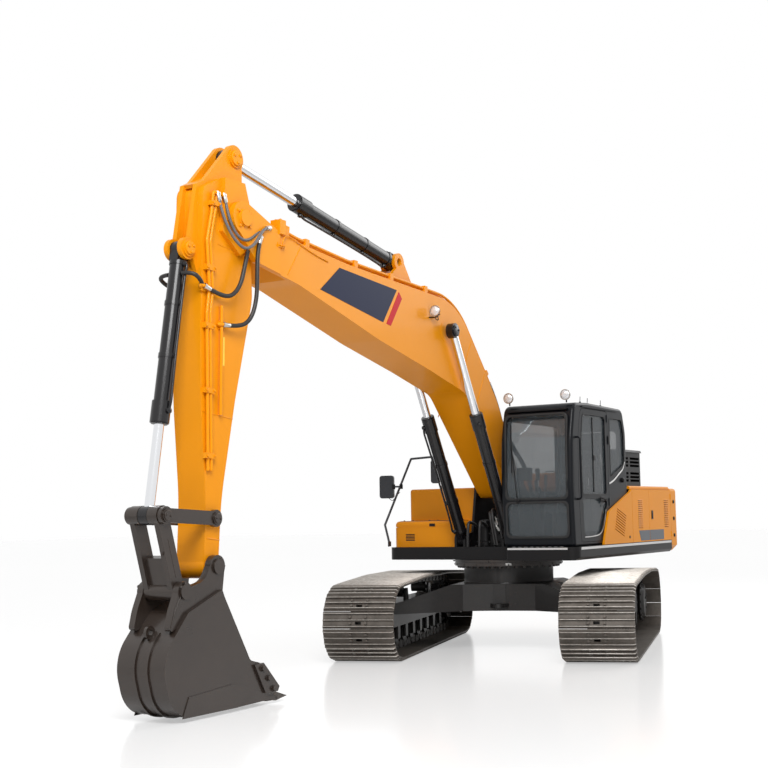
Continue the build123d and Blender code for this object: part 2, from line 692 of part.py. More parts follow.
# edge of the boom's outline the clamp stands on, distance from that edge's start, its cap
PIPE_CLAMPS = [
    (1, 330.0, CLAMP_CAP),
    (2, 620.0, CLAMP_CAP),
    (2, 1320.0, CLAMP_CAP),
    (2, 1990.0, CLAMP_CAP),
    (3, 660.0, CLAMP_CAP),
    (4, 150.0, NOSE_CLAMP_CAP),
]
boom_edge = [point[:2] for point in spanned(BOOM_FOOT, BOOM_TIP, BOOM_OUTLINE)]
PIPE_ROUTE = [
    along(boom_edge[1], boom_edge[2], PIPE_START, PIPE_RISE),
    *[corner_inward(*boom_edge[n - 1:n + 2], PIPE_RISE) for n in (2, 3, 4)],
    along(boom_edge[4], boom_edge[5], PIPE_END, PIPE_RISE + 10),
]

with BuildPart() as boom_pipes:
    for face_y in (-1, 1):
        for pipe_y in PIPE_PAIR_Y:
            with BuildLine(side_plane(face_y * pipe_y)) as route:
                FilletPolyline(*PIPE_ROUTE, radius=PIPE_BEND)
            with BuildSketch(Plane(origin=route.line @ 0, z_dir=route.line % 0)):
                Circle(PIPE_RADIUS)
            sweep(path=route.line)
        for edge, run, cap in PIPE_CLAMPS:
            start, end = boom_edge[edge:edge + 2]
            with BuildSketch(side_plane(face_y * (PIPE_PAIR_Y[0] - CLAMP_CAP))):
                Polygon(
                    along(start, end, run, CLAMP_SEAT),
                    along(start, end, run + CLAMP_LENGTH, CLAMP_SEAT),
                    along(start, end, run + CLAMP_LENGTH, PIPE_RISE + cap),
                    along(start, end, run, PIPE_RISE + cap),
                    align=None,
                )
            extrude(amount=-face_y * (PIPE_PAIR_Y[1] - PIPE_PAIR_Y[0] + 2 * CLAMP_CAP))
save(boom_pipes, "boom_pipes")

BOOM_LAMP = (2242.0, 3804.0)
LAMP_RADIUS = 62.0
LAMP_DEPTH = 58.0
LAMP_RIM = 14.0
LAMP_Y = BOOM_HALF_WIDTH + 85.0


def lamp_housing(x, y, z):
    """Round work lamp facing forward, its rim ending at x."""
    with Locations(Location((x - LAMP_RIM / 2, y, z), (0, 90, 0))):
        Cylinder(LAMP_RADIUS, LAMP_RIM)
    with Locations(Location((x - (LAMP_DEPTH + LAMP_RIM) / 2, y, z), (0, 90, 0))):
        Cone(LAMP_RADIUS / 2, LAMP_RADIUS - 6, LAMP_DEPTH - LAMP_RIM)
    with Locations(Location((x, y, z), (0, 90, 0))):
        Cylinder(LAMP_RADIUS - 9, LAMP_RIM, mode=Mode.SUBTRACT)


with BuildPart() as boom_lamp:
    lamp_housing(BOOM_LAMP[0], LAMP_Y, BOOM_LAMP[1])
    with Locations((BOOM_LAMP[0] - 34, (BOOM_HALF_WIDTH + LAMP_Y) / 2, BOOM_LAMP[1] - LAMP_RADIUS)):
        Box(36, LAMP_Y - BOOM_HALF_WIDTH - 1, 10)
    with Locations((BOOM_LAMP[0] - 34, LAMP_Y, BOOM_LAMP[1] - LAMP_RADIUS + 18)):
        Box(16, 16, 40)
save(boom_lamp, "boom_lamp")

# ---- arm -------------------------------------------------------------------------------
ARM_EAR_INNER = 52.0
ARM_EAR_PLATE = 42.0
ARM_TAIL_EYE = 118.0
ARM_NOSE_EYE = 100.0
# share of the line from bucket pin to boom tip pin, share to its left, corner radius
ARM_OUTLINE = [
    (1.0416, 0.0495, 0),
    (0.9421, 0.0764, 300),
    (0.7823, 0.1007, 500),
    (0.4739, 0.0538, 2500),
    (0.1859, 0.0226, 2500),
    (0.0066, 0.0298, 0),
    (0.0032, -0.0309, 0),
    (0.1788, -0.0416, 2500),
    (0.4479, -0.0946, 2500),
    (0.6413, -0.1156, 2500),
    (1.0527, -0.1478, 120),
    (1.1028, -0.0721, 0),
    (1.1126, 0.0164, 0),
]
ARM_BOSS_OUTLINE = [
    (1.0416, 0.0495),
    (0.9421, 0.0764),
    (0.8938, 0.0174),
    (0.9441, -0.0678),
    (1.1028, -0.0721),
    (1.1126, 0.0164),
]
ARM_TAIL_OUTLINE = [(1.0416, 0.0495), (1.2068, 0.0286), (1.2135, -0.0312), (1.0527, -0.1478)]
ARM_FRONT_OUTLINE = [
    (1.0610, -0.1560),
    (1.0450, -0.0900),
    (0.8081, -0.1277),
    (0.8425, -0.1468),
    (0.8946, -0.1694),
]
ARM_COVER_OUTLINE = [(1.0527, -0.1478), (1.1028, -0.0721), (1.1150, -0.0760), (1.0610, -0.1560)]

with BuildPart() as arm:
    with BuildSketch(side_plane(0)):
        with BuildLine():
            rounded(spanned(BUCKET_PIN, BOOM_TIP, ARM_OUTLINE))
        make_face()
        with Locations(BUCKET_PIN):
            Circle(ARM_NOSE_EYE)
    extrude(amount=ARM_BEAM_HALF, both=True)
    with BuildSketch(side_plane(0)):
        Polygon(*spanned(BUCKET_PIN, BOOM_TIP, ARM_BOSS_OUTLINE), align=None)
    extrude(amount=ARM_HALF_WIDTH, both=True)
    for face_y in (-1, 1):
        # ears of the arm cylinder's rod and, on the front, of the bucket cylinder
        with BuildSketch(side_plane(face_y * ARM_EAR_INNER)):
            Polygon(*spanned(BUCKET_PIN, BOOM_TIP, ARM_TAIL_OUTLINE), align=None)
            with Locations(ARM_TAIL_PIN):
                Circle(ARM_TAIL_EYE)
            Polygon(*spanned(BUCKET_PIN, BOOM_TIP, ARM_FRONT_OUTLINE), align=None)
            with Locations(BUCKET_CYL_FOOT):
                Circle(BRACKET_EYE)
        extrude(amount=-face_y * ARM_EAR_PLATE)
        # boss rings round both pins
        with BuildSketch(side_plane(face_y * (ARM_EAR_INNER + ARM_EAR_PLATE))):
            with Locations(ARM_TAIL_PIN):
                Circle(ARM_TAIL_EYE - 30)
            with Locations(BUCKET_CYL_FOOT):
                Circle(BRACKET_EYE - 22)
        extrude(amount=-face_y * 16)
    # slanting cover over the front edge of the tail
    with BuildSketch(side_plane(0)):
        Polygon(*spanned(BUCKET_PIN, BOOM_TIP, ARM_COVER_OUTLINE), align=None)
    extrude(amount=ARM_EAR_INNER + ARM_EAR_PLATE, both=True)
    with BuildSketch(side_plane(0)):
        with Locations(BOOM_TIP):
            Circle(TIP_PIN_RADIUS + PIN_FIT)
        with Locations(BUCKET_PIN, BUCKET_CYL_FOOT):
            Circle(BUCKET_PIN_RADIUS + PIN_FIT)
        with Locations(IDLER_ARM_PIN):
            Circle(36)
    extrude(amount=ARM_HALF_WIDTH, both=True, mode=Mode.SUBTRACT)
save(arm, "arm")

# ---- oil pipes on the arm's left side --------------------------------------------------
ARM_PIPE_Y = ARM_BEAM_HALF + PIPE_RADIUS + 8.0
ARM_PIPE_PITCH = 42.0
ARM_PIPE_BEND = 120.0
# share of the line from bucket pin to boom tip pin, share to its left
ARM_PIPE_ROUTE = [
    (1.0000, -0.1060),
    (0.9000, -0.1180),
    (0.7700, -0.0930),
    (0.6950, -0.0960),
    (0.2600, -0.0440),
]
ARM_RETURN_ROUTE = [(0.7300, -0.0420), (0.4200, -0.0140)]
# share of the line from bucket pin to boom tip pin, share to its left, turn from upright
ARM_CLAMPS = [(0.8250, -0.1040, 2), (0.6600, -0.0920, 4), (0.4800, -0.0705, 4), (0.3000, -0.0490, 4)]
ARM_CLAMP = (120.0, 46.0)

with BuildPart() as arm_pipes:
    for pipe_shift in (-ARM_PIPE_PITCH / 2, ARM_PIPE_PITCH / 2):
        with BuildLine(side_plane(ARM_PIPE_Y)) as route:
            FilletPolyline(
                *[(x + pipe_shift, z) for x, z in spanned(BUCKET_PIN, BOOM_TIP, ARM_PIPE_ROUTE)],
                radius=ARM_PIPE_BEND,
            )
        with BuildSketch(Plane(origin=route.line @ 0, z_dir=route.line % 0)):
            Circle(PIPE_RADIUS)
        sweep(path=route.line)
    with BuildLine(side_plane(ARM_PIPE_Y)) as route:
        Line(*spanned(BUCKET_PIN, BOOM_TIP, ARM_RETURN_ROUTE))
    with BuildSketch(Plane(origin=route.line @ 0, z_dir=route.line % 0)):
        Circle(PIPE_RADIUS)
    sweep(path=route.line)
    for x, z, turn in spanned(BUCKET_PIN, BOOM_TIP, ARM_CLAMPS):
        with BuildSketch(side_plane(ARM_BEAM_HALF + 1)):
            with Locations((x, z)):
                Rectangle(*ARM_CLAMP, rotation=turn)
        extrude(amount=-2 * PIPE_RADIUS - 12)
save(arm_pipes, "arm_pipes")

# ---- pins ------------------------------------------------------------------------------
BUCKET_EAR_INNER = 158.0
BUCKET_EAR_PLATE = 60.0
PIN_CAP = 16.0
PIN_CAP_RIM = 22.0
# name, carried at (x, z), radius, half length
PINS = [
    ("boom_foot_pin", BOOM_FOOT, MAIN_PIN_RADIUS, TOWER_INNER_Y + TOWER_PLATE + 4),
    ("boom_tip_pin", BOOM_TIP, TIP_PIN_RADIUS, TIP_EAR_HALF + 12),
    ("bucket_pin", BUCKET_PIN, BUCKET_PIN_RADIUS, BUCKET_EAR_INNER + BUCKET_EAR_PLATE + 3),
    ("bucket_link_pin", BUCKET_LINK_PIN, BUCKET_PIN_RADIUS, BUCKET_EAR_INNER + BUCKET_EAR_PLATE + 3),
]
for label, centre, radius, half_length in PINS:
    with BuildPart() as pin:
        with BuildSketch(side_plane(0)):
            with Locations(centre):
                Circle(radius)
        extrude(amount=half_length, both=True)
        for face_y in (-1, 1):
            with BuildSketch(side_plane(face_y * half_length)):
                with Locations(centre):
                    Circle(radius + PIN_CAP_RIM)
            extrude(amount=-face_y * PIN_CAP)
    save(pin, label)

# ---- cylinders -------------------------------------------------------------------------
TUBE_WALL = 14.0
PISTON_GAP = 1.0
PISTON_LENGTH = 60.0
HEAD_LENGTH = 190.0
HEAD_NOSE = 10.0
NECK = 34.0
# name, foot, rod eye, y, tube radius, head radius, rod radius, tube length, rod length,
# eye half width, eye radius, foot bore
CYLINDERS = [
    ("boom_cylinder_left", BOOM_CYL_FOOT, BOOM_CYL_ROD, BOOM_CYL_Y, 70.0, 78.0, 45.0, 1640.0,
     1700.0, CYL_EYE_HALF, 84.0, 45.0),
    ("boom_cylinder_right", BOOM_CYL_FOOT, BOOM_CYL_ROD, -BOOM_CYL_Y, 70.0, 78.0, 45.0, 1640.0,
     1700.0, CYL_EYE_HALF, 84.0, 45.0),
    ("arm_cylinder", ARM_CYL_FOOT, ARM_TAIL_PIN, 0.0, 76.0, 90.0, 50.0, 1780.0, 2040.0, 48.0,
     90.0, BUCKET_PIN_RADIUS),
    ("bucket_cylinder", BUCKET_CYL_FOOT, ROD_LINK_PIN, 0.0, 68.0, 80.0, 42.0, 1515.0, 1580.0,
     46.0, 78.0, BUCKET_PIN_RADIUS),
]

for row in CYLINDERS:
    label, foot, eye, cyl_y, tube_r, head_r, rod_r, tube_length, rod_length, eye_half, eye_r, bore = row
    angle = radians(direction(foot, eye))
    barrel = Plane(origin=(foot[0], cyl_y, foot[1]), x_dir=(0, 1, 0), z_dir=(cos(angle), 0, sin(angle)))
    shaft = Plane(origin=(eye[0], cyl_y, eye[1]), x_dir=(0, 1, 0), z_dir=(-cos(angle), 0, -sin(angle)))
    with BuildPart() as tube:
        with BuildSketch(barrel.offset(eye_r + NECK)):
            Circle(tube_r)
        extrude(amount=tube_length - eye_r - NECK)
        with BuildSketch(barrel):
            Rectangle(2 * eye_half, 2 * eye_r - 24)
        extrude(amount=eye_r + NECK + 2)
        # head with the rod's seal, and the end cap's ring
        with BuildSketch(barrel.offset(tube_length - HEAD_LENGTH)):
            Circle(head_r)
        extrude(amount=HEAD_LENGTH - HEAD_NOSE)
        with BuildSketch(barrel.offset(eye_r + NECK)):
            Circle((head_r + tube_r) / 2)
        extrude(amount=NECK)
        with BuildSketch(side_plane(cyl_y)):
            with Locations(foot):
                Circle(eye_r - 6)
        extrude(amount=eye_half, both=True)
        with BuildSketch(barrel.offset(eye_r + 2 * NECK)):
            Circle(tube_r - TUBE_WALL)
        extrude(amount=tube_length - eye_r - 4 * NECK, mode=Mode.SUBTRACT)
        with BuildSketch(barrel.offset(eye_r + 2 * NECK)):
            Circle(rod_r + PISTON_GAP)
        extrude(amount=tube_length, mode=Mode.SUBTRACT)
        with BuildSketch(side_plane(cyl_y)):
            with Locations(foot):
                Circle(bore)
        extrude(amount=eye_half, both=True, mode=Mode.SUBTRACT)
    save(tube, label + "_tube")

    with BuildPart() as rod:
        with BuildSketch(shaft):
            Circle(rod_r)
        extrude(amount=rod_length)
        with BuildSketch(shaft.offset(rod_length - PISTON_LENGTH)):
            Circle(tube_r - TUBE_WALL - PISTON_GAP)
        extrude(amount=PISTON_LENGTH)
        with BuildSketch(side_plane(cyl_y)):
            with Locations(eye):
                Circle(eye_r)
        extrude(amount=eye_half, both=True)
    save(rod, label + "_rod")

# ---- links between arm, bucket cylinder and bucket --------------------------------------
LINK_GAP = 4.0
IDLER_LINK_PLATE = 34.0
IDLER_BAR = 58.0
IDLER_EYE = 72.0
IDLER_CAP = 14.0
IDLER_PIN_RADIUS = 35.5
HLINK_FORK_INNER = 51.0
HLINK_HALF = BUCKET_EAR_INNER - LINK_GAP
HLINK_CHEEK = 50.0
HLINK_BAR = 66.0
HLINK_TUBE = 76.0
HLINK_EYE = 80.0
HLINK_WEB = (350.0, 590.0)
HLINK_WEB_HALF = 34.0
IDLER_LINK_INNER = HLINK_HALF + LINK_GAP

with BuildPart() as idler_links:
    for face_y in (-1, 1):
        with BuildSketch(side_plane(face_y * IDLER_LINK_INNER)):
            bar_outline(IDLER_ARM_PIN, ROD_LINK_PIN, IDLER_BAR, IDLER_BAR)
            with Locations(IDLER_ARM_PIN, ROD_LINK_PIN):
                Circle(IDLER_EYE)
        extrude(amount=-face_y * IDLER_LINK_PLATE)
        with BuildSketch(side_plane(face_y * (IDLER_LINK_INNER + IDLER_LINK_PLATE))):
            with Locations(IDLER_ARM_PIN, ROD_LINK_PIN):
                Circle(IDLER_EYE - 18)
        extrude(amount=-face_y * IDLER_CAP)
    with BuildSketch(side_plane(0)):
        with Locations(IDLER_ARM_PIN):
            Circle(IDLER_PIN_RADIUS)
    extrude(amount=IDLER_LINK_INNER + 5, both=True)
save(idler_links, "idler_links")

with BuildPart() as bucket_link:
    for face_y in (-1, 1):
        with BuildSketch(side_plane(face_y * (HLINK_HALF - HLINK_CHEEK))):
            bar_outline(BUCKET_LINK_PIN, ROD_LINK_PIN, HLINK_BAR, HLINK_BAR)
        extrude(amount=-face_y * HLINK_CHEEK)
        with BuildSketch(side_plane(face_y * HLINK_FORK_INNER)):
            with Locations(ROD_LINK_PIN):
                Circle(HLINK_EYE)
        extrude(amount=-face_y * (HLINK_HALF - HLINK_FORK_INNER))
    with BuildSketch(side_plane(0)):
        with Locations(BUCKET_LINK_PIN):
            Circle(HLINK_TUBE)
        Polygon(
            along(ROD_LINK_PIN, BUCKET_LINK_PIN, HLINK_WEB[0], HLINK_WEB_HALF),
            along(ROD_LINK_PIN, BUCKET_LINK_PIN, HLINK_WEB[0], -HLINK_WEB_HALF),
            along(ROD_LINK_PIN, BUCKET_LINK_PIN, HLINK_WEB[1], -HLINK_WEB_HALF),
            along(ROD_LINK_PIN, BUCKET_LINK_PIN, HLINK_WEB[1], HLINK_WEB_HALF),
            align=None,
        )
    extrude(amount=HLINK_HALF, both=True)
    with BuildSketch(side_plane(0)):
        with Locations(BUCKET_LINK_PIN):
            Circle(BUCKET_PIN_RADIUS + PIN_FIT)
    extrude(amount=HLINK_HALF, both=True, mode=Mode.SUBTRACT)
save(bucket_link, "bucket_link")

# ---- bucket ----------------------------------------------------------------------------
BUCKET_RIB = 14.0
BUCKET_RIB_Y = (52.0, 84.0)
WEAR_PLATE = 8.0
CUTTER_PLATE = 22.0
LIFT_EYE = (BUCKET_PIN[0] + 580.0, BUCKET_PIN[1] - 499.0)
# share of the bucket's reach from its pin, angle round it, corner radius
BUCKET_OUTLINE = [
    (0.1303, 263.73, 0),
    (0.1735, 258.73, 0),
    (0.6086, 244.32, 60),
    (0.6849, 237.29, 40),
    (0.8785, 239.89, 20),
    (0.8877, 243.42, 0),
    (0.8117, 259.70, 0),
    (0.8890, 296.07, 300),
    (0.6795, 315.70, 330),
    (0.3608, 318.73, 60),
]
BUCKET_MOUTH = [(0.96, 234.7), (0.80, 257.5), (0.1908, 265.9), (0.1868, 249.0), (0.66, 219.0)]
BUCKET_EAR = [
    (0.0632, 173.9, 0),
    (0.1554, 254.8, 0),
    (0.1703, 272.3, 0),
    (0.4230, 316.2, 0),
    (0.5389, 319.0, 30),
    (0.4357, 328.9, 400),
    (0.3506, 339.2, 0),
    (0.2455, 336.8, 60),
    (0.1392, 325.9, 160),
    (0.0632, 6.1, 0),
]
WEAR_OUTLINE = [(0.8117, 259.70), (0.8600, 292.0), (0.7400, 291.5), (0.6700, 262.0), (0.7800, 245.0)]
TOOTH_OUTLINE = [
    (0.8633, 241.3),
    (0.9143, 236.6),
    (0.9996, 232.11),
    (1.0, 232.31),
    (0.9457, 238.2),
    (0.9004, 242.7),
]
LIP_OUTLINE = [(0.9300, 236.8), (0.8248, 248.3), (0.8470, 249.3), (0.9340, 238.2)]
CUTTER_OUTLINE = [(0.6437, 243.7), (0.6815, 237.17), (0.8907, 234.35), (0.9040, 236.2), (0.8430, 242.7)]


def round_pin(rows):
    """Outline rows (share of the bucket's reach, angle round its pin, ...) as points."""
    return [(*polar(BUCKET_PIN, BUCKET_REACH * row[0], row[1]), *row[2:]) for row in rows]


with BuildPart() as bucket:
    with BuildSketch(side_plane(0)):
        with BuildLine():
            rounded(round_pin(BUCKET_OUTLINE))
        make_face()
    extrude(amount=BUCKET_HALF_WIDTH, both=True)
    # ribs round the middle of the back
    for face_y in (-1, 1):
        with BuildSketch(side_plane(face_y * BUCKET_RIB_Y[0])):
            with BuildLine():
                rounded(round_pin(BUCKET_OUTLINE))
            make_face()
            offset(amount=BUCKET_RIB, kind=Kind.INTERSECTION)
            with Locations((BUCKET_PIN[0] + BUCKET_REACH * 0.17, BUCKET_PIN[1] - BUCKET_REACH * 0.34)):
                Rectangle(BUCKET_REACH, BUCKET_REACH, align=(Align.MIN, Align.MAX), mode=Mode.INTERSECT)
        extrude(amount=-face_y * (BUCKET_RIB_Y[1] - BUCKET_RIB_Y[0]))
    with BuildSketch(side_plane(0)):
        with BuildLine():
            rounded(round_pin(BUCKET_OUTLINE))
        make_face()
        offset(amount=-BUCKET_SHELL, kind=Kind.INTERSECTION)
        Polygon(*round_pin(BUCKET_MOUTH), align=None)
    extrude(amount=BUCKET_HALF_WIDTH - BUCKET_SIDE, both=True, mode=Mode.SUBTRACT)
    for face_y in (-1, 1):
        with BuildSketch(side_plane(face_y * BUCKET_EAR_INNER)):
            with BuildLine():
                rounded(round_pin(BUCKET_EAR))
            make_face()
            with Locations(BUCKET_PIN):
                Circle(95)
            with Locations(BUCKET_LINK_PIN):
                Circle(HLINK_EYE + 2)
        extrude(amount=-face_y * BUCKET_EAR_PLATE)
        # wear plate low on the side, side cutter at the lip's corner
        with BuildSketch(side_plane(face_y * BUCKET_HALF_WIDTH)):
            Polygon(*round_pin(WEAR_OUTLINE), align=None)
        extrude(amount=-face_y * WEAR_PLATE)
        with BuildSketch(side_plane(face_y * BUCKET_HALF_WIDTH)):
            Polygon(*round_pin(CUTTER_OUTLINE), align=None)
        extrude(amount=-face_y * CUTTER_PLATE)
    with BuildSketch(side_plane(0)):
        with Locations(BUCKET_PIN, BUCKET_LINK_PIN):
            Circle(BUCKET_PIN_RADIUS + PIN_FIT)
    extrude(amount=BUCKET_HALF_WIDTH, both=True, mode=Mode.SUBTRACT)
    # lip, teeth and the lifting eye
    with BuildSketch(side_plane(0)):
        Polygon(*round_pin(LIP_OUTLINE), align=None)
    extrude(amount=BUCKET_HALF_WIDTH, both=True)
    for tooth in range(TOOTH_COUNT):
        tooth_y = (BUCKET_HALF_WIDTH - 45) * (2 * tooth / (TOOTH_COUNT - 1) - 1)
        with BuildSketch(side_plane(tooth_y)):
            Polygon(*round_pin(TOOTH_OUTLINE), align=None)
        extrude(amount=38, both=True)
    with BuildSketch(side_plane(0)):
        with Locations(LIFT_EYE):
            Circle(54)
            Circle(24, mode=Mode.SUBTRACT)
    extrude(amount=14, both=True)
save(bucket, "bucket")

# ---- house: counterweight, engine, walls -----------------------------------------------
CW_BOTTOM_Z = DECK_BOTTOM_Z + 10.0
CW_CORNER = 120.0
CW_TOP_EDGE = 45.0
CW_BOTTOM_EDGE = 70.0
CW_EYE_Y = 560.0
ENGINE_X = -1420.0
ENGINE_SIZE = (760.0, 1500.0, 600.0)
WALL_POST = 80.0
WALL_SILL = 45.0
LEFT_SEAM_X = (-783.0, -1358.0)
RIGHT_SEAM_X = -1503.0
SEAM = 3.0

with BuildPart() as counterweight:
    with BuildSketch(Plane.XY.offset(CW_BOTTOM_Z)):
        with BuildLine():
            Polyline(
                (COUNTERWEIGHT_SIDE_X, DECK_HALF_WIDTH),
                (COUNTERWEIGHT_FRONT_X, DECK_HALF_WIDTH),
                (COUNTERWEIGHT_FRONT_X, -DECK_HALF_WIDTH),
                (COUNTERWEIGHT_SIDE_X, -DECK_HALF_WIDTH),
            )
            ThreePointArc(
                (COUNTERWEIGHT_SIDE_X, -DECK_HALF_WIDTH),
                (COUNTERWEIGHT_REAR_X, 0),
                (COUNTERWEIGHT_SIDE_X, DECK_HALF_WIDTH),
            )
        make_face()
    extrude(amount=COUNTERWEIGHT_TOP_Z - CW_BOTTOM_Z)
    fillet(counterweight.edges().filter_by(Axis.Z).sort_by(Axis.X)[:2], CW_CORNER)
    fillet(counterweight.faces().sort_by(Axis.Z)[-1].edges().sort_by(Axis.X)[:-1], CW_TOP_EDGE)
    chamfer(counterweight.faces().sort_by(Axis.Z)[0].edges().sort_by(Axis.X)[:-1], CW_BOTTOM_EDGE)
    # lifting eyes sunk in the top
    for eye_y in (-CW_EYE_Y, CW_EYE_Y):
        with BuildSketch(side_plane(eye_y)):
            with Locations((COUNTERWEIGHT_SIDE_X, COUNTERWEIGHT_TOP_Z)):
                Circle(60)
                Circle(34, mode=Mode.SUBTRACT)
        extrude(amount=16, both=True)
save(counterweight, "counterweight")

with BuildPart() as engine:
    with Locations((ENGINE_X, 0, DECK_TOP_Z)):
        Box(*ENGINE_SIZE, align=(Align.CENTER, Align.CENTER, Align.MIN))
save(engine, "engine")


def wall_opening(front_x, rear_x):
    """Opening between two posts of a side wall, drawn in the current side sketch."""
    Polygon(
        (front_x - WALL_POST / 2, DECK_TOP_Z + WALL_SILL),
        (front_x - WALL_POST / 2, SIDE_PANEL_TOP_Z - WALL_SILL),
        (rear_x + WALL_POST / 2, SIDE_PANEL_TOP_Z - WALL_SILL),
        (rear_x + WALL_POST / 2, DECK_TOP_Z + WALL_SILL),
        align=None,
    )


HOUSE_HALF = CAB_OUTER_Y - FIT
with BuildPart() as house:
    with BuildSketch(Plane.XY.offset(DECK_TOP_Z)):
        with Locations(((PUMP_BAY_FRONT_X + DECK_REAR_X) / 2, 0)):
            Rectangle(PUMP_BAY_FRONT_X - DECK_REAR_X, 2 * HOUSE_HALF)
            Rectangle(
                PUMP_BAY_FRONT_X - DECK_REAR_X - 2 * PANEL, 2 * (HOUSE_HALF - PANEL), mode=Mode.SUBTRACT
            )
    extrude(amount=SIDE_PANEL_TOP_Z - DECK_TOP_Z)
    # openings behind the middle and rear panels on the left, behind both on the right
    with BuildSketch(side_plane(HOUSE_HALF + 1)):
        wall_opening(*LEFT_SEAM_X)
        wall_opening(LEFT_SEAM_X[1], DECK_REAR_X)
    extrude(amount=PANEL + 2, mode=Mode.SUBTRACT)
    with BuildSketch(side_plane(-HOUSE_HALF - 1)):
        wall_opening(PUMP_BAY_FRONT_X, RIGHT_SEAM_X)
        wall_opening(RIGHT_SEAM_X, DECK_REAR_X)
    extrude(amount=-PANEL - 2, mode=Mode.SUBTRACT)
save(house, "house")

# ---- side panels and doors of the house ------------------------------------------------
PANEL_BOTTOM_Z = DECK_TOP_Z + FIT
LOUVRE = (150.0, 12.0)
LOUVRE_PITCH = 24.0
LOUVRE_COUNT = 15
LOUVRE_Z = 1562.0
LOUVRE_LEAN = 18.0
DOOR_VENT = (-395.0, 1470.0)
BARREL_RADIUS = 7.0
BARREL_LENGTH = 70.0
BARREL_Z = (PANEL_BOTTOM_Z + 75.0, SIDE_PANEL_TOP_Z - 90.0)
BARREL_Y = DECK_HALF_WIDTH + 1.0
FRONT_BARREL = 32.0
# name, outline (x, z), side, louvres at x, hinge at x and heights
PANELS = [
    (
        "side_door_front",
        [
            (DECK_NOSE_X - 510, PANEL_BOTTOM_Z),
            (DECK_NOSE_X - 685, 1602),
            (PUMP_BAY_FRONT_X + 16, SIDE_PANEL_TOP_Z - 29),
            (PUMP_BAY_FRONT_X - 10, SIDE_PANEL_TOP_Z),
            (LEFT_SEAM_X[0] + SEAM, SIDE_PANEL_TOP_Z),
            (LEFT_SEAM_X[0] + SEAM, PANEL_BOTTOM_Z),
        ],
        1,
        None,
        DECK_NOSE_X - 510,
        (PANEL_BOTTOM_Z + FRONT_BARREL / 2,),
    ),
    (
        "side_panel_left",
        [
            (LEFT_SEAM_X[0] - SEAM, PANEL_BOTTOM_Z),
            (LEFT_SEAM_X[0] - SEAM, SIDE_PANEL_TOP_Z),
            (LEFT_SEAM_X[1] + SEAM, SIDE_PANEL_TOP_Z),
            (LEFT_SEAM_X[1] + SEAM, PANEL_BOTTOM_Z),
        ],
        1,
        LEFT_SEAM_X[0] - 272,
        None,
        (),
    ),
    (
        "side_door_rear",
        [
            (LEFT_SEAM_X[1] - SEAM, PANEL_BOTTOM_Z),
            (LEFT_SEAM_X[1] - SEAM, SIDE_PANEL_TOP_Z),
            (DECK_REAR_X + FIT, SIDE_PANEL_TOP_Z),
            (DECK_REAR_X + FIT, PANEL_BOTTOM_Z),
        ],
        1,
        DECK_REAR_X + 175,
        DECK_REAR_X + 5,
        BARREL_Z,
    ),
    (
        "pump_door",
        [
            (PUMP_BAY_FRONT_X, PANEL_BOTTOM_Z),
            (PUMP_BAY_FRONT_X, SIDE_PANEL_TOP_Z),
            (RIGHT_SEAM_X + SEAM, SIDE_PANEL_TOP_Z),
            (RIGHT_SEAM_X + SEAM, PANEL_BOTTOM_Z),
        ],
        -1,
        PUMP_BAY_FRONT_X - 330,
        RIGHT_SEAM_X + 5,
        BARREL_Z,
    ),
    (
        "side_panel_right",
        [
            (RIGHT_SEAM_X - SEAM, PANEL_BOTTOM_Z),
            (RIGHT_SEAM_X - SEAM, SIDE_PANEL_TOP_Z),
            (DECK_REAR_X + FIT, SIDE_PANEL_TOP_Z),
            (DECK_REAR_X + FIT, PANEL_BOTTOM_Z),
        ],
        -1,
        DECK_REAR_X + 330,
        None,
        (),
    ),
]

for label, outline, face_y, louvre_x, hinge_x, hinge_zs in PANELS:
    with BuildPart() as panel:
        with BuildSketch(side_plane(face_y * DECK_HALF_WIDTH)):
            Polygon(*outline, align=None)
        extrude(amount=face_y * SIDE_PANEL_PLATE)
        for hinge_z in hinge_zs:
            with Locations((hinge_x, face_y * BARREL_Y, hinge_z)):
                Cylinder(BARREL_RADIUS, BARREL_LENGTH if len(hinge_zs) > 1 else FRONT_BARREL)
        # louvres: one upright row, or the slanted field on the front door
        with BuildSketch(side_plane(face_y * (DECK_HALF_WIDTH + 1))):
            if louvre_x:
                with Locations((louvre_x, LOUVRE_Z)):
                    with GridLocations(1, LOUVRE_PITCH, 1, LOUVRE_COUNT):
                        Rectangle(*LOUVRE)
            else:
                for n in range(-4, 5):
                    with Locations((DOOR_VENT[0] - n * 10, DOOR_VENT[1] + n * 30)):
                        Rectangle(LOUVRE[0] * 2, LOUVRE[1], rotation=LOUVRE_LEAN)
        extrude(amount=face_y * (SIDE_PANEL_PLATE + 2), mode=Mode.SUBTRACT)
    save(panel, label)

# ---- top cover, hood, air intake, exhaust ----------------------------------------------
HOOD_X = (-2060.0, -1180.0)
HOOD_Y = (-650.0, 700.0)
HOOD_HEIGHT = 210.0
HOOD_WALL = 25.0
HOOD_EDGE = 60.0
HOOD_RIM = 60.0
HOOD_BARREL_RADIUS = 9.0
HOOD_HINGE = 6.0
COVER_VENT_X = (-1330.0, -1700.0, -2010.0)
INTAKE = (-1330.0, 930.0)
INTAKE_SIZE = (760.0, 320.0, 440.0)
INTAKE_WALL = 20.0
INTAKE_LID = 30.0
INTAKE_OVERHANG = 25.0
EXHAUST = (-1300.0, -950.0)
EXHAUST_RADIUS = 52.0
EXHAUST_HEIGHT = 300.0

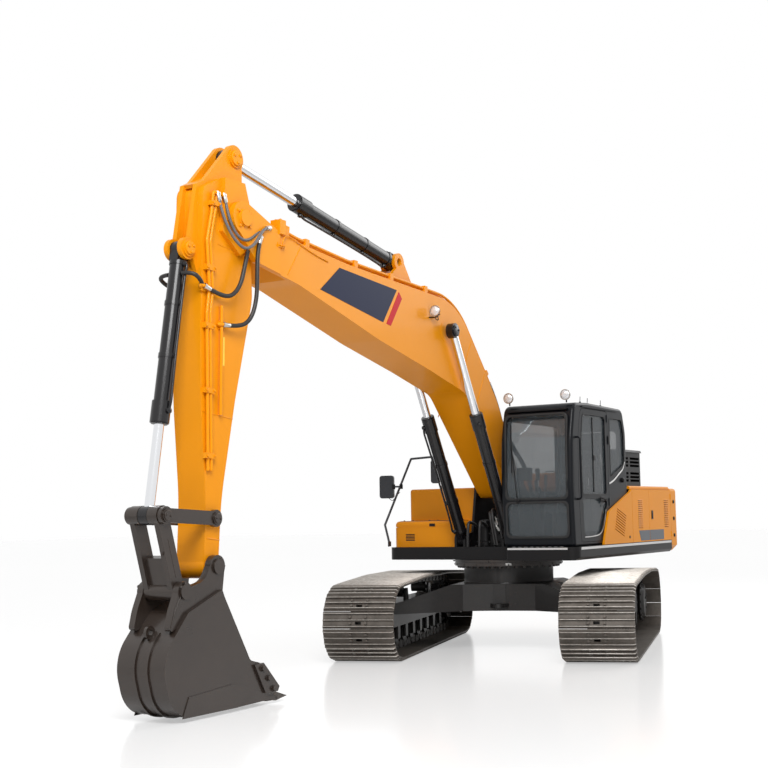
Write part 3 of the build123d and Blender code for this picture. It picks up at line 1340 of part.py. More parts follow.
hood_middle = (sum(HOOD_X) / 2, sum(HOOD_Y) / 2)
with BuildPart() as top_cover:
    with BuildSketch(Plane.XY.offset(SIDE_PANEL_TOP_Z + FIT)):
        with Locations(((PUMP_BAY_FRONT_X + DECK_REAR_X + FIT) / 2, 0)):
            Rectangle(PUMP_BAY_FRONT_X - DECK_REAR_X - FIT, 2 * DECK_HALF_WIDTH - PANEL)
        with Locations(hood_middle):
            Rectangle(
                HOOD_X[1] - HOOD_X[0] - 2 * HOOD_RIM, HOOD_Y[1] - HOOD_Y[0] - 2 * HOOD_RIM, mode=Mode.SUBTRACT
            )
        # vents along the left edge
        for vent_x in COVER_VENT_X:
            with Locations((vent_x, (INTAKE[1] + INTAKE_SIZE[1] / 2 + DECK_HALF_WIDTH) / 2)):
                with GridLocations(1, LOUVRE_PITCH, 1, 5):
                    Rectangle(LOUVRE[0] * 1.5, LOUVRE[1], mode=Mode.SUBTRACT)
    extrude(amount=COVER_PLATE)
    fillet(top_cover.faces().sort_by(Axis.Z)[-1].outer_wire().edges().filter_by(Axis.X), 25)
save(top_cover, "top_cover")

with BuildPart() as engine_hood:
    with BuildSketch(Plane.XY.offset(COVER_TOP_Z + FIT)):
        with Locations(hood_middle):
            Rectangle(HOOD_X[1] - HOOD_X[0], HOOD_Y[1] - HOOD_Y[0])
    extrude(amount=HOOD_HEIGHT, taper=8)
    fillet(engine_hood.faces().sort_by(Axis.Z)[-1].edges(), HOOD_EDGE)
    offset(amount=-HOOD_WALL, openings=engine_hood.faces().sort_by(Axis.Z)[0])
    for barrel_y in (HOOD_Y[0] / 2, HOOD_Y[1] / 2):
        with Locations(Location((HOOD_X[1] + HOOD_HINGE, barrel_y, COVER_TOP_Z + 12), (90, 0, 0))):
            Cylinder(HOOD_BARREL_RADIUS, BARREL_LENGTH)
save(engine_hood, "engine_hood")

with BuildPart() as air_intake:
    with Locations((*INTAKE, COVER_TOP_Z)):
        Box(*INTAKE_SIZE, align=(Align.CENTER, Align.CENTER, Align.MIN))
    with Locations((*INTAKE, COVER_TOP_Z)):
        Box(
            INTAKE_SIZE[0] - 2 * INTAKE_WALL,
            INTAKE_SIZE[1] - 2 * INTAKE_WALL,
            INTAKE_SIZE[2] - INTAKE_WALL,
            align=(Align.CENTER, Align.CENTER, Align.MIN),
            mode=Mode.SUBTRACT,
        )
    # two columns of slots through both long sides
    with BuildSketch(side_plane(INTAKE[1])):
        with Locations((INTAKE[0], COVER_TOP_Z + INTAKE_SIZE[2] / 2)):
            with GridLocations(INTAKE_SIZE[0] / 2 - 10, 190, 2, 2):
                with GridLocations(1, 46, 1, 3):
                    Rectangle(INTAKE_SIZE[0] / 2 - 70, 30)
    extrude(amount=INTAKE_SIZE[1], both=True, mode=Mode.SUBTRACT)
    with BuildSketch(Plane.XY.offset(COVER_TOP_Z + INTAKE_SIZE[2])):
        with Locations(INTAKE):
            RectangleRounded(
                INTAKE_SIZE[0] + 2 * INTAKE_OVERHANG, INTAKE_SIZE[1] + 2 * INTAKE_OVERHANG, 30
            )
    extrude(amount=INTAKE_LID, taper=25)
save(air_intake, "air_intake")

with BuildPart() as exhaust:
    with Locations((*EXHAUST, COVER_TOP_Z)):
        Cylinder(EXHAUST_RADIUS, EXHAUST_HEIGHT, align=(Align.CENTER, Align.CENTER, Align.MIN))
        Cylinder(EXHAUST_RADIUS + 30, 20, align=(Align.CENTER, Align.CENTER, Align.MIN))
        Cylinder(
            EXHAUST_RADIUS - 5, EXHAUST_HEIGHT + 20, align=(Align.CENTER, Align.CENTER, Align.MIN),
            mode=Mode.SUBTRACT,
        )
    # mouth cut at a slant
    with BuildSketch(side_plane(EXHAUST[1])):
        Polygon(
            (EXHAUST[0] - EXHAUST_RADIUS - 5, COVER_TOP_Z + EXHAUST_HEIGHT + 5),
            (EXHAUST[0] + EXHAUST_RADIUS + 5, COVER_TOP_Z + EXHAUST_HEIGHT + 5),
            (EXHAUST[0] - EXHAUST_RADIUS - 5, COVER_TOP_Z + EXHAUST_HEIGHT - 2 * EXHAUST_RADIUS),
            align=None,
        )
    extrude(amount=2 * EXHAUST_RADIUS, both=True, mode=Mode.SUBTRACT)
save(exhaust, "exhaust")

# ---- right side: fuel tank, tool box, mirrors ------------------------------------------
TANK_INNER_Y = -340.0
TANK_EDGE = 80.0
FILLER = (-300.0, -1050.0)
TOOLBOX_INNER_Y = -420.0
TOOLBOX_CORNER = 60.0
TOOLBOX_LID_Z = DECK_TOP_Z + TOOLBOX_HEIGHT - 75.0
TOOLBOX_GROOVE = 5.0
MIRROR_TUBE = 14.0
MIRROR_CASE = 40.0
MIRROR_ROUTE = [
    (626, -1318, 1246),
    (444, -1500, 1491),
    (67, -1330, 2323),
    (98, -1000, 2335),
]
# middle and size of the stems between the tube and the mirrors
MIRROR_STEMS = [((227, -1455, 1970), (22, 130, 22)), ((92, -990, 2310), (22, 40, 60))]
# centre, turn round Z, width, height
MIRRORS = [((225, -1600, 1970), 12, 190, 290), ((82, -960, 2150), 8, 120, 300)]

with BuildPart() as fuel_tank:
    with BuildSketch(Plane.XY.offset(DECK_TOP_Z)):
        Polygon(
            (PUMP_BAY_FRONT_X + FIT + 1, -DECK_HALF_WIDTH),
            (PUMP_BAY_FRONT_X + FIT + 1, TANK_INNER_Y),
            (TANK_FRONT_X, TANK_INNER_Y),
            (TANK_FRONT_X, -DECK_HALF_WIDTH),
            align=None,
        )
    extrude(amount=TANK_TOP_Z - DECK_TOP_Z)
    fillet(fuel_tank.edges().filter_by(Axis.Z).sort_by(Axis.X)[-2:], TANK_EDGE / 2)
    fillet(fuel_tank.faces().sort_by(Axis.Z)[-1].edges().sort_by(Axis.X)[1:], TANK_EDGE / 2.5)
    with Locations((*FILLER, TANK_TOP_Z)):
        Cylinder(58, 100)
save(fuel_tank, "fuel_tank")

with BuildPart() as tool_box:
    with BuildSketch(Plane.XY.offset(DECK_TOP_Z)):
        Polygon(
            (TANK_FRONT_X + FIT + 1, -DECK_HALF_WIDTH),
            (TANK_FRONT_X + FIT + 1, TOOLBOX_INNER_Y),
            (TOOLBOX_FRONT_X, TOOLBOX_INNER_Y),
            (TOOLBOX_FRONT_X, -DECK_HALF_WIDTH),
            align=None,
        )
    extrude(amount=TOOLBOX_HEIGHT)
    fillet(tool_box.edges().filter_by(Axis.Z).sort_by(Axis.X)[-2:], TOOLBOX_CORNER)
    fillet(tool_box.faces().sort_by(Axis.Z)[-1].edges().sort_by(Axis.X)[1:], TOOLBOX_CORNER - 15)
    # groove under the lid, on the front and the outer side
    with BuildSketch(Plane.XY.offset(TOOLBOX_LID_Z)):
        Polygon(
            (TANK_FRONT_X, -DECK_HALF_WIDTH - 1),
            (TANK_FRONT_X, -DECK_HALF_WIDTH + TOOLBOX_GROOVE),
            (TOOLBOX_FRONT_X - TOOLBOX_CORNER, -DECK_HALF_WIDTH + TOOLBOX_GROOVE),
            (TOOLBOX_FRONT_X - TOOLBOX_GROOVE, -DECK_HALF_WIDTH + TOOLBOX_CORNER),
            (TOOLBOX_FRONT_X - TOOLBOX_GROOVE, TOOLBOX_INNER_Y),
            (TOOLBOX_FRONT_X + 1, TOOLBOX_INNER_Y),
            (TOOLBOX_FRONT_X + 1, -DECK_HALF_WIDTH - 1),
            align=None,
        )
    extrude(amount=6, mode=Mode.SUBTRACT)
save(tool_box, "tool_box")

with BuildPart() as mirrors:
    with BuildLine() as mirror_route:
        Polyline(*MIRROR_ROUTE)
    with BuildSketch(Plane(origin=mirror_route.line @ 0, z_dir=mirror_route.line % 0)):
        Circle(MIRROR_TUBE)
    sweep(path=mirror_route.line, transition=Transition.ROUND)
    with Locations((626, -1322, 1258)):
        Box(50, 16, 60)
    for centre, size in MIRROR_STEMS:
        with Locations(centre):
            Box(*size)
    for centre, turn, width, height in MIRRORS:
        facing = (cos(radians(turn)), sin(radians(turn)), 0)
        with BuildSketch(Plane(origin=centre, x_dir=(-facing[1], facing[0], 0), z_dir=facing)):
            RectangleRounded(width, height, 35)
        extrude(amount=MIRROR_CASE / 2, both=True)
save(mirrors, "mirrors_right")

# ---- cab -------------------------------------------------------------------------------
CAB_MID_Y = (CAB_INNER_Y + CAB_OUTER_Y) / 2
CAB_WIDTH = CAB_OUTER_Y - CAB_INNER_Y
CAB_FLOOR_Z = DECK_TOP_Z + FIT
CAB_EDGE = 35.0
WINDOW_CORNER = 60.0
GLASS_INSET = 16.0
DOOR_BOTTOM_Z = DECK_TOP_Z + 45.0
DOOR_TOP_Z = CAB_ROOF_Z - 70.0
BULGE_Z = DECK_TOP_Z + 685.0
BROW_Z = CAB_ROOF_Z - 415.0
# x, z, corner radius
CAB_OUTLINE = [
    (CAB_REAR_X, CAB_FLOOR_Z, 25),
    (CAB_FRONT_X, CAB_FLOOR_Z, 45),
    (CAB_FRONT_X + 40, BULGE_Z, 900),
    (CAB_FRONT_X + 15, BROW_Z, 900),
    (CAB_FRONT_X - 85, CAB_ROOF_Z - 20, 130),
    (CAB_FRONT_X - 480, CAB_ROOF_Z, 600),
    (CAB_REAR_X + 90, CAB_ROOF_Z - 15, 110),
    (CAB_REAR_X, CAB_ROOF_Z - 300, 260),
]
DOOR_OUTLINE = [
    (DOOR_REAR_X, DECK_TOP_Z + 437, 0),
    (DOOR_REAR_X + 108, DECK_TOP_Z + 397, 0),
    (DOOR_REAR_X + 282, DOOR_BOTTOM_Z, 0),
    (DOOR_FRONT_X, DOOR_BOTTOM_Z, 40),
    (DOOR_FRONT_X + 40, BULGE_Z, 900),
    (DOOR_FRONT_X + 20, BROW_Z, 700),
    (DOOR_FRONT_X - 60, DOOR_TOP_Z, 110),
    (DOOR_REAR_X, DOOR_TOP_Z, 50),
]
DOOR_LOWER_WINDOW = [
    (DOOR_REAR_X + 75, DECK_TOP_Z + 540, 30),
    (DOOR_REAR_X + 75, DECK_TOP_Z + 465, 60),
    (DOOR_REAR_X + 300, DECK_TOP_Z + 120, 150),
    (DOOR_FRONT_X - 95, DECK_TOP_Z + 120, 60),
    (DOOR_FRONT_X - 80, DECK_TOP_Z + 540, 30),
]
DOOR_UPPER_WINDOW = [
    (DOOR_REAR_X + 75, DECK_TOP_Z + 590, 40),
    (DOOR_FRONT_X - 80, DECK_TOP_Z + 590, 40),
    (DOOR_FRONT_X - 75, BROW_Z, 700),
    (DOOR_FRONT_X - 135, DOOR_TOP_Z - 75, 90),
    (DOOR_REAR_X + 75, DOOR_TOP_Z - 75, 70),
]
REAR_SIDE_WINDOW = [
    (DOOR_REAR_X - 60, DECK_TOP_Z + 785, 30),
    (DOOR_REAR_X - 60, CAB_ROOF_Z - 140, 50),
    (CAB_REAR_X + 130, CAB_ROOF_Z - 140, 90),
    (CAB_REAR_X + 75, CAB_ROOF_Z - 320, 200),
    (CAB_REAR_X + 75, DECK_TOP_Z + 960, 50),
]
# windows in the front: bottom and top height
LOWER_WINDSCREEN = (DECK_TOP_Z + 115, DECK_TOP_Z + 500)
UPPER_WINDSCREEN = (DECK_TOP_Z + 550, CAB_ROOF_Z - 150)
WINDSCREEN_WIDTH = CAB_WIDTH - 140.0
REAR_WINDOW = (CAB_WIDTH - 220.0, 560.0, DECK_TOP_Z + 1095.0)
RIGHT_WINDOW = (1300.0, 1040.0, (CAB_FRONT_X + CAB_REAR_X) / 2, DECK_TOP_Z + 935.0)
DOOR_BARREL_Z = (DECK_TOP_Z + 500.0, DOOR_TOP_Z - 90.0)
RAIL_X = CAB_FRONT_X - 100.0
RAIL_Z = (DECK_TOP_Z + 535.0, DECK_TOP_Z + 1235.0)
RAIL_REACH = 52.0
RAIL_RADIUS = 12.0
LAMP_YS = (CAB_INNER_Y + 68.0, CAB_OUTER_Y - 105.0)
LAMP_SEAT = (CAB_FRONT_X - 130.0, CAB_ROOF_Z - 12.0)


def front_windows():
    """Both panes of the windscreen, drawn in the current sketch across the cab."""
    for bottom, top in (LOWER_WINDSCREEN, UPPER_WINDSCREEN):
        with Locations((CAB_MID_Y, (bottom + top) / 2)):
            RectangleRounded(WINDSCREEN_WIDTH, top - bottom, WINDOW_CORNER)


with BuildPart() as cab:
    with BuildSketch(side_plane(CAB_MID_Y)):
        with BuildLine():
            rounded(CAB_OUTLINE)
        make_face()
    extrude(amount=CAB_WIDTH / 2, both=True)
    fillet(cab.faces().sort_by(Axis.Y)[-1].edges(), CAB_EDGE)
    fillet(cab.faces().sort_by(Axis.Y)[0].edges(), CAB_EDGE)
    with BuildSketch(side_plane(CAB_MID_Y)):
        with BuildLine():
            rounded(CAB_OUTLINE)
        make_face()
        offset(amount=-CAB_WALL, kind=Kind.INTERSECTION)
    extrude(amount=CAB_WIDTH / 2 - CAB_WALL, both=True, mode=Mode.SUBTRACT)
    with BuildSketch(Plane.YZ.offset(CAB_FRONT_X - 200)):
        front_windows()
    extrude(amount=400, mode=Mode.SUBTRACT)
    with BuildSketch(Plane.YZ.offset(CAB_REAR_X - 100)):
        with Locations((CAB_MID_Y, REAR_WINDOW[2])):
            RectangleRounded(*REAR_WINDOW[:2], WINDOW_CORNER)
    extrude(amount=300, mode=Mode.SUBTRACT)
    with BuildSketch(side_plane(CAB_INNER_Y - 1)):
        with Locations(RIGHT_WINDOW[2:]):
            RectangleRounded(*RIGHT_WINDOW[:2], WINDOW_CORNER)
    extrude(amount=-CAB_WALL - 2, mode=Mode.SUBTRACT)
    with BuildSketch(side_plane(CAB_OUTER_Y + 1)):
        with BuildLine():
            rounded(REAR_SIDE_WINDOW)
        make_face()
        with BuildLine():
            rounded(DOOR_OUTLINE)
        make_face()
    extrude(amount=CAB_WALL + 2, mode=Mode.SUBTRACT)
    # grab rail beside the door
    with BuildLine(Plane.YZ.offset(RAIL_X)) as rail:
        FilletPolyline(
            (CAB_OUTER_Y - 10, RAIL_Z[0]),
            (CAB_OUTER_Y + RAIL_REACH, RAIL_Z[0]),
            (CAB_OUTER_Y + RAIL_REACH, RAIL_Z[1]),
            (CAB_OUTER_Y - 10, RAIL_Z[1]),
            radius=30,
        )
    with BuildSketch(Plane(origin=rail.line @ 0, z_dir=rail.line % 0)):
        Circle(RAIL_RADIUS)
    sweep(path=rail.line)
    # drip rail over the door
    with BuildSketch(side_plane(CAB_OUTER_Y - 5)):
        Polygon(
            (DOOR_REAR_X - 300, DOOR_TOP_Z + 8),
            (DOOR_FRONT_X - 90, DOOR_TOP_Z + 8),
            (DOOR_FRONT_X - 95, DOOR_TOP_Z + 22),
            (DOOR_REAR_X - 300, DOOR_TOP_Z + 22),
            align=None,
        )
    extrude(amount=-25)
save(cab, "cab")

with BuildPart() as cab_door:
    with BuildSketch(side_plane(CAB_OUTER_Y)):
        with BuildLine():
            rounded(DOOR_OUTLINE)
        make_face()
        offset(amount=-DOOR_GAP, kind=Kind.INTERSECTION)
    extrude(amount=CAB_WALL)
    for barrel_z in DOOR_BARREL_Z:
        with Locations((DOOR_REAR_X + 12, CAB_OUTER_Y, barrel_z)):
            Cylinder(11, 90)
    with BuildSketch(side_plane(CAB_OUTER_Y + 1)):
        with BuildLine():
            rounded(DOOR_UPPER_WINDOW)
        make_face()
        with BuildLine():
            rounded(DOOR_LOWER_WINDOW)
        make_face()
    extrude(amount=CAB_WALL + 2, mode=Mode.SUBTRACT)
save(cab_door, "cab_door")

with BuildPart() as door_glass:
    with BuildSketch(side_plane(CAB_OUTER_Y - GLASS_INSET)):
        with BuildLine():
            rounded(DOOR_UPPER_WINDOW)
        make_face()
        with BuildLine():
            rounded(DOOR_LOWER_WINDOW)
        make_face()
    extrude(amount=GLASS)
save(door_glass, "door_glass")

with BuildPart() as cab_glass:
    # curved sheet just inside the cab's outline, cut to the front and rear windows
    with BuildSketch(side_plane(CAB_MID_Y)):
        with BuildLine():
            rounded(CAB_OUTLINE)
        make_face()
        offset(amount=-GLASS_INSET, kind=Kind.INTERSECTION)
    extrude(amount=CAB_WIDTH / 2, both=True)
    with BuildSketch(side_plane(CAB_MID_Y)):
        with BuildLine():
            rounded(CAB_OUTLINE)
        make_face()
        offset(amount=-GLASS_INSET - GLASS, kind=Kind.INTERSECTION)
    extrude(amount=CAB_WIDTH / 2, both=True, mode=Mode.SUBTRACT)
    with BuildPart(mode=Mode.INTERSECT):
        with BuildSketch(Plane.YZ.offset(CAB_FRONT_X - 200)):
            front_windows()
        extrude(amount=400)
        with BuildSketch(Plane.YZ.offset(CAB_REAR_X - 100)):
            with Locations((CAB_MID_Y, REAR_WINDOW[2])):
                RectangleRounded(*REAR_WINDOW[:2], WINDOW_CORNER)
        extrude(amount=300)
    with BuildSketch(side_plane(CAB_INNER_Y + GLASS_INSET)):
        with Locations(RIGHT_WINDOW[2:]):
            RectangleRounded(*RIGHT_WINDOW[:2], WINDOW_CORNER)
    extrude(amount=-GLASS)
    with BuildSketch(side_plane(CAB_OUTER_Y - GLASS_INSET)):
        with BuildLine():
            rounded(REAR_SIDE_WINDOW)
        make_face()
    extrude(amount=GLASS)
save(cab_glass, "cab_glass")

with BuildPart() as cab_lamps:
    for lamp_y in LAMP_YS:
        lamp_housing(LAMP_SEAT[0] + LAMP_DEPTH, lamp_y, LAMP_SEAT[1] + LAMP_RADIUS + 22)
        with Locations((LAMP_SEAT[0] + 20, lamp_y, LAMP_SEAT[1] + 18)):
            Cylinder(8, 40)
save(cab_lamps, "cab_lamps")

# ---- seat and controls -----------------------------------------------------------------
SEAT_X = -50.0
SEAT_HALF = 250.0
CONSOLE_HALF = 55.0
CONSOLE_Y = 325.0
LEVER = (22.0, 160.0)
INSIDE_FLOOR_Z = CAB_FLOOR_Z + CAB_WALL
# x from the seat's middle, height over the deck, corner radius
SEAT_OUTLINE = [
    (-250, 375, 30),
    (240, 375, 60),
    (270, 505, 50),
    (-150, 490, 60),
    (-270, 1100, 40),
    (-290, 1130, 20),
    (-280, 1190, 60),
    (-305, 1350, 40),
    (-385, 1345, 40),
    (-400, 1100, 30),
]
CONSOLE_OUTLINE = [(-200, 53, 0), (200, 53, 0), (350, 565, 0), (320, 645, 60), (-200, 585, 60)]

with BuildPart() as seat:
    with BuildSketch(Plane.XY.offset(INSIDE_FLOOR_Z)):
        with Locations((SEAT_X, CAB_MID_Y)):
            RectangleRounded(420, 380, 40)
    extrude(amount=330)
    with BuildSketch(side_plane(CAB_MID_Y)):
        with BuildLine():
            rounded([(SEAT_X + x, DECK_TOP_Z + z, bend) for x, z, bend in SEAT_OUTLINE])
        make_face()
    extrude(amount=SEAT_HALF, both=True)
save(seat, "seat")

with BuildPart() as consoles:
    for console_y in (CAB_MID_Y - CONSOLE_Y, CAB_MID_Y + CONSOLE_Y):
        with BuildSketch(side_plane(console_y)):
            with BuildLine():
                rounded([(SEAT_X + x, DECK_TOP_Z + z, bend) for x, z, bend in CONSOLE_OUTLINE])
            make_face()
        extrude(amount=CONSOLE_HALF, both=True)
        with Locations((SEAT_X + 300, console_y, DECK_TOP_Z + 645 + LEVER[1] / 3)):
            Cylinder(*LEVER)
save(consoles, "consoles")
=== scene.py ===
import json
from math import acos, atan2, copysign, cos, hypot, pi, radians, sin

import bmesh
import bpy
from mathutils import Matrix, Vector


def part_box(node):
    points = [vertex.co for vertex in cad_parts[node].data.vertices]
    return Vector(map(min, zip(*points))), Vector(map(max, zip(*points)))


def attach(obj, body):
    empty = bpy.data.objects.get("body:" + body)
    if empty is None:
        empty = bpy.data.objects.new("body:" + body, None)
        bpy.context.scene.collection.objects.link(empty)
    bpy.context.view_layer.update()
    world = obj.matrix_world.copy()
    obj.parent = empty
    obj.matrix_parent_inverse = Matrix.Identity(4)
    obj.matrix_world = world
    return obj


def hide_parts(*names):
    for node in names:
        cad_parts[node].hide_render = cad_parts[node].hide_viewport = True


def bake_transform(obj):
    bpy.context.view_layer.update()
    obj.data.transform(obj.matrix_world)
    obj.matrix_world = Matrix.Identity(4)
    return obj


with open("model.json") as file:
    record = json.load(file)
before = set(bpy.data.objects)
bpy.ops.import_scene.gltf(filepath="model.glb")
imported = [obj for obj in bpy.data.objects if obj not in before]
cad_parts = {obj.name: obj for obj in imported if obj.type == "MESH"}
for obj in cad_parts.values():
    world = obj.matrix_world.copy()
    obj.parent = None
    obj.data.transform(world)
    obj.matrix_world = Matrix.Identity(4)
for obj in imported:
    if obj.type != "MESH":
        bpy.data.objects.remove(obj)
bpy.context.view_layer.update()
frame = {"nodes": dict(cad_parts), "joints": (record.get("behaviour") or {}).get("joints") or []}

# ---- Tracks ----------------------------------------------------------------------------
# Two endless chains of forged links, each link with a rolled steel shoe bolted on.
# The shoes have three bars across. The bar tops are worn bright, and lighter still as a painted highlight
# along the bars. Between them the shoes keep a thin brown film of rust and dried mud.


class Wire:
    """One socket of a finish, worked on with Python's own operators."""

    def __init__(self, finish, socket):
        self.finish = finish
        self.socket = socket

    def math(self, operation, first, second):
        return self.finish.node("ShaderNodeMath", {"operation": operation}, first, second)

    def __add__(self, other):
        return self.math("ADD", self, other)

    __radd__ = __add__

    def __sub__(self, other):
        return self.math("SUBTRACT", self, other)

    def __rsub__(self, other):
        return self.math("SUBTRACT", other, self)

    def __mul__(self, other):
        return self.math("MULTIPLY", self, other)

    __rmul__ = __mul__

    def between(self, low, high):
        """0 at low and under, 1 at high and over."""
        return self.finish.node("ShaderNodeMapRange", {"clamp": True}, self, low, high, 0.0, 1.0)

    def clip(self):
        return self.finish.node("ShaderNodeClamp", {}, self, 0.0, 1.0)


class Finish:
    """A painted, plated or bare surface: one material with its own nodes."""

    def __init__(self, name, color, roughness=0.5, metallic=0.0, **sockets):
        self.material = bpy.data.materials.new(name)
        self.material.use_nodes = True
        self.tree = self.material.node_tree
        self.shader = self.tree.nodes["Principled BSDF"]
        self.shader.inputs["Base Color"].default_value = (*color, 1)
        self.shader.inputs["Roughness"].default_value = roughness
        self.shader.inputs["Metallic"].default_value = metallic
        for socket, value in sockets.items():
            self.shader.inputs[socket.replace("_", " ")].default_value = value

    def node(self, kind, settings, *values, output=0, **named):
        """Adds a node of one kind: its settings first, then its sockets in order or by name."""
        node = self.tree.nodes.new(kind)
        for key, value in settings.items():
            setattr(node, key, value)
        for key, value in [*enumerate(values), *named.items()]:
            socket = node.inputs[key.replace("_", " ") if isinstance(key, str) else key]
            if isinstance(value, Wire):
                self.tree.links.new(value.socket, socket)
            elif value is not None:
                socket.default_value = value
        return Wire(self, node.outputs[output])

    def place(self):
        """Where a point of the surface lies on its resting body, in metres."""
        return self.node("ShaderNodeTexCoord", {}, output="Object")

    def height(self):
        return self.node("ShaderNodeSeparateXYZ", {}, self.place(), output="Z")

    def noise(self, scale, detail=3.0, roughness=0.5, stretch=(1, 1, 1)):
        """Cloudy value from 0 to 1, about 1/scale metres from one cloud to the next."""
        spot = self.node("ShaderNodeMapping", {}, self.place(), Scale=stretch)
        return self.node(
            "ShaderNodeTexNoise", {}, Vector=spot, Scale=scale, Detail=detail, Roughness=roughness
        )

    def mix(self, share, first, second):
        """Colour between two colours or wires."""
        pair = [tone if isinstance(tone, Wire) else (*tone, 1) for tone in (first, second)]
        return self.node(
            "ShaderNodeMix", {"data_type": "RGBA"}, share, *[None] * 5, *pair, output=2
        )

    def feed(self, **wires):
        for name, wire in wires.items():
            self.tree.links.new(wire.socket, self.shader.inputs[name.replace("_", " ")])
        return self

    def bump(self, height, depth, strength=1.0):
        """Surface relief, depth in metres."""
        return self.feed(Normal=self.node(
            "ShaderNodeBump", {}, Strength=strength, Distance=depth, Height=height
        ))

    def coat(self, *objects):
        """Puts the finish on pieces."""
        for obj in objects:
            obj.data.materials.clear()
            obj.data.materials.append(self.material)
        return self


class Shape:
    """A piece in the making, its points in the machine's frame at rest."""

    def __init__(self):
        self.mesh = bmesh.new()
        self.tone = 0

    def face(self, corners):
        self.mesh.faces.new(corners).material_index = self.tone

    def skin(self, rings, closed=False, bright=()):
        """Joins rings of equally many points; the strips in bright take the second finish."""
        rows = [[self.mesh.verts.new(point) for point in ring] for ring in rings]
        count = len(rows[0])
        plain = self.tone
        for low, high in zip(rows, rows[1:] + rows[:1] if closed else rows[1:]):
            for i in range(count):
                j = (i + 1) % count
                self.tone = 1 if i in bright else plain
                self.face((low[i], low[j], high[j], high[i]))
        self.tone = plain
        if not closed:
            self.face(rows[0][::-1])
            self.face(rows[-1])
        return self

    def block(self, outline, reach):
        """A flat outline of points drawn out along the vector reach."""
        base = [Vector(point) for point in outline]
        return self.skin([base, [point + Vector(reach) for point in base]])

    def box(self, low, high):
        outline = [(low[0], low[1], low[2]), (high[0], low[1], low[2]),
                   (high[0], high[1], low[2]), (low[0], high[1], low[2])]
        return self.block(outline, (0, 0, high[2] - low[2]))

    def turned(self, start, axis, profile, sides=24):
        """A lathe-turned solid: profile pairs are (distance along the axis, radius)."""
        start, axis = Vector(start), Vector(axis).normalized()
        across = axis.orthogonal().normalized()
        up = axis.cross(across)
        return self.skin([
            [
                start + axis * run
                + (across * cos(2 * pi * k / sides) + up * sin(2 * pi * k / sides)) * radius
                for k in range(sides)
            ]
            for run, radius in profile
        ])

    def rod(self, start, end, radius, sides=16):
        start, end = Vector(start), Vector(end)
        return self.turned(start, end - start, [(0, radius), ((end - start).length, radius)], sides)

    def bolt(self, seat, axis, flats=0.03, tall=0.018):
        """A hexagon head on its washer."""
        seat, axis = Vector(seat), Vector(axis).normalized()
        washer = tall * 0.2
        self.turned(seat, axis, [(0, flats * 0.72), (washer, flats * 0.72)], 12)
        head = [(0, flats * 0.577), (tall * 0.65, flats * 0.577), (tall * 0.8, flats * 0.48)]
        return self.turned(seat + axis * washer, axis, head, 6)

    def side_bolts(self, centre, sense, radius, turns, flats, tall):
        """Bolts round a centre on a face that looks left (sense 1) or right (sense -1)."""
        for turn in turns:
            seat = Vector(centre) + Vector((radius * cos(turn), 0, radius * sin(turn)))
            self.bolt(seat, (0, sense, 0), flats, tall)

    def hose(self, path, radius, sides=12):
        """A round tube with its middle line through the points of path."""
        path = [Vector(point) for point in path]
        rings = []
        side = None
        for i, point in enumerate(path):
            heading = (path[min(i + 1, len(path) - 1)] - path[max(i - 1, 0)]).normalized()
            side = heading.orthogonal() if side is None else side - heading * side.dot(heading)
            side.normalize()
            other = heading.cross(side)
            rings.append([
                point + (side * cos(2 * pi * k / sides) + other * sin(2 * pi * k / sides)) * radius
                for k in range(sides)
            ])
        return self.skin(rings)

    def done(self, name, body, finish, round_edge=0.0, smooth=35, place=None):
        """Makes the piece, gives it one finish or several, and hangs it on its body."""
        bmesh.ops.recalc_face_normals(self.mesh, faces=self.mesh.faces)
        if place:
            self.mesh.transform(place)
        data = bpy.data.meshes.new(name)
        self.mesh.to_mesh(data)
        self.mesh.free()
        piece = bpy.data.objects.new(name, data)
        bpy.context.scene.collection.objects.link(piece)
        dress(piece, round_edge, smooth)
        for tone in finish if isinstance(finish, tuple) else (finish,):
            data.materials.append(tone.material)
        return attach(piece, body) if body else piece


def dress(piece, round_edge=0.0, smooth=35, segments=2):
    """Rounds a piece's sharp edges and shades what is nearly flat as one surface."""
    for face in piece.data.polygons:
        face.use_smooth = True
    piece.data.set_sharp_from_angle(angle=radians(smooth))
    if round_edge:
        bevel = piece.modifiers.new("rounded edges", "BEVEL")
        bevel.width = round_edge
        bevel.segments = segments
        bevel.limit_method = "ANGLE"
        bevel.angle_limit = radians(smooth)
        bevel.harden_normals = True
    return piece


nodes = frame["nodes"]
joint_at = {joint["name"]: Vector(joint["pos_m"]) for joint in frame["joints"] if "pos_m" in joint}
SWING_X = joint_at["swing"].x
UNDER_TURN = radians(16.7)
LOWER = Matrix.Translation((SWING_X, 0, 0)) @ Matrix.Rotation(UNDER_TURN, 4, "Z")

shoe_steel = Finish("shoe_steel", (0.1, 0.086, 0.074), 0.5, 0.55)
scale_marks = shoe_steel.noise(9.0, 5.0, 0.65)
mud_film = shoe_steel.noise(55.0, 4.0, 0.6)
shoe_steel.feed(
    Base_Color=shoe_steel.mix(
        (scale_marks * 1.6 - 0.45).clip(),
        shoe_steel.mix(mud_film, (0.05, 0.043, 0.037), (0.11, 0.096, 0.082)),
        (0.17, 0.15, 0.132),
    ),
    Roughness=(0.36 + mud_film * 0.3).clip(),
)
shoe_steel.bump(mud_film, 0.002, 0.5)
# bar tops: real wear, made brighter as a painted highlight along the bars
worn_and_highlit_steel = Finish("worn_and_highlit_steel", (0.46, 0.43, 0.4), 0.33, 0.9)
scratches = worn_and_highlit_steel.noise(26.0, 4.0, 0.7)
worn_and_highlit_steel.feed(
    Base_Color=worn_and_highlit_steel.mix((scratches * 1.8 - 0.4).clip(), (0.26, 0.235, 0.21), (0.6, 0.57, 0.53)),
    Roughness=(0.25 + scratches * 0.3).clip(),
)
chain_steel = Finish("chain_steel", (0.035, 0.031, 0.028), 0.55, 0.4)
grease_film = chain_steel.noise(30.0, 4.0, 0.6)
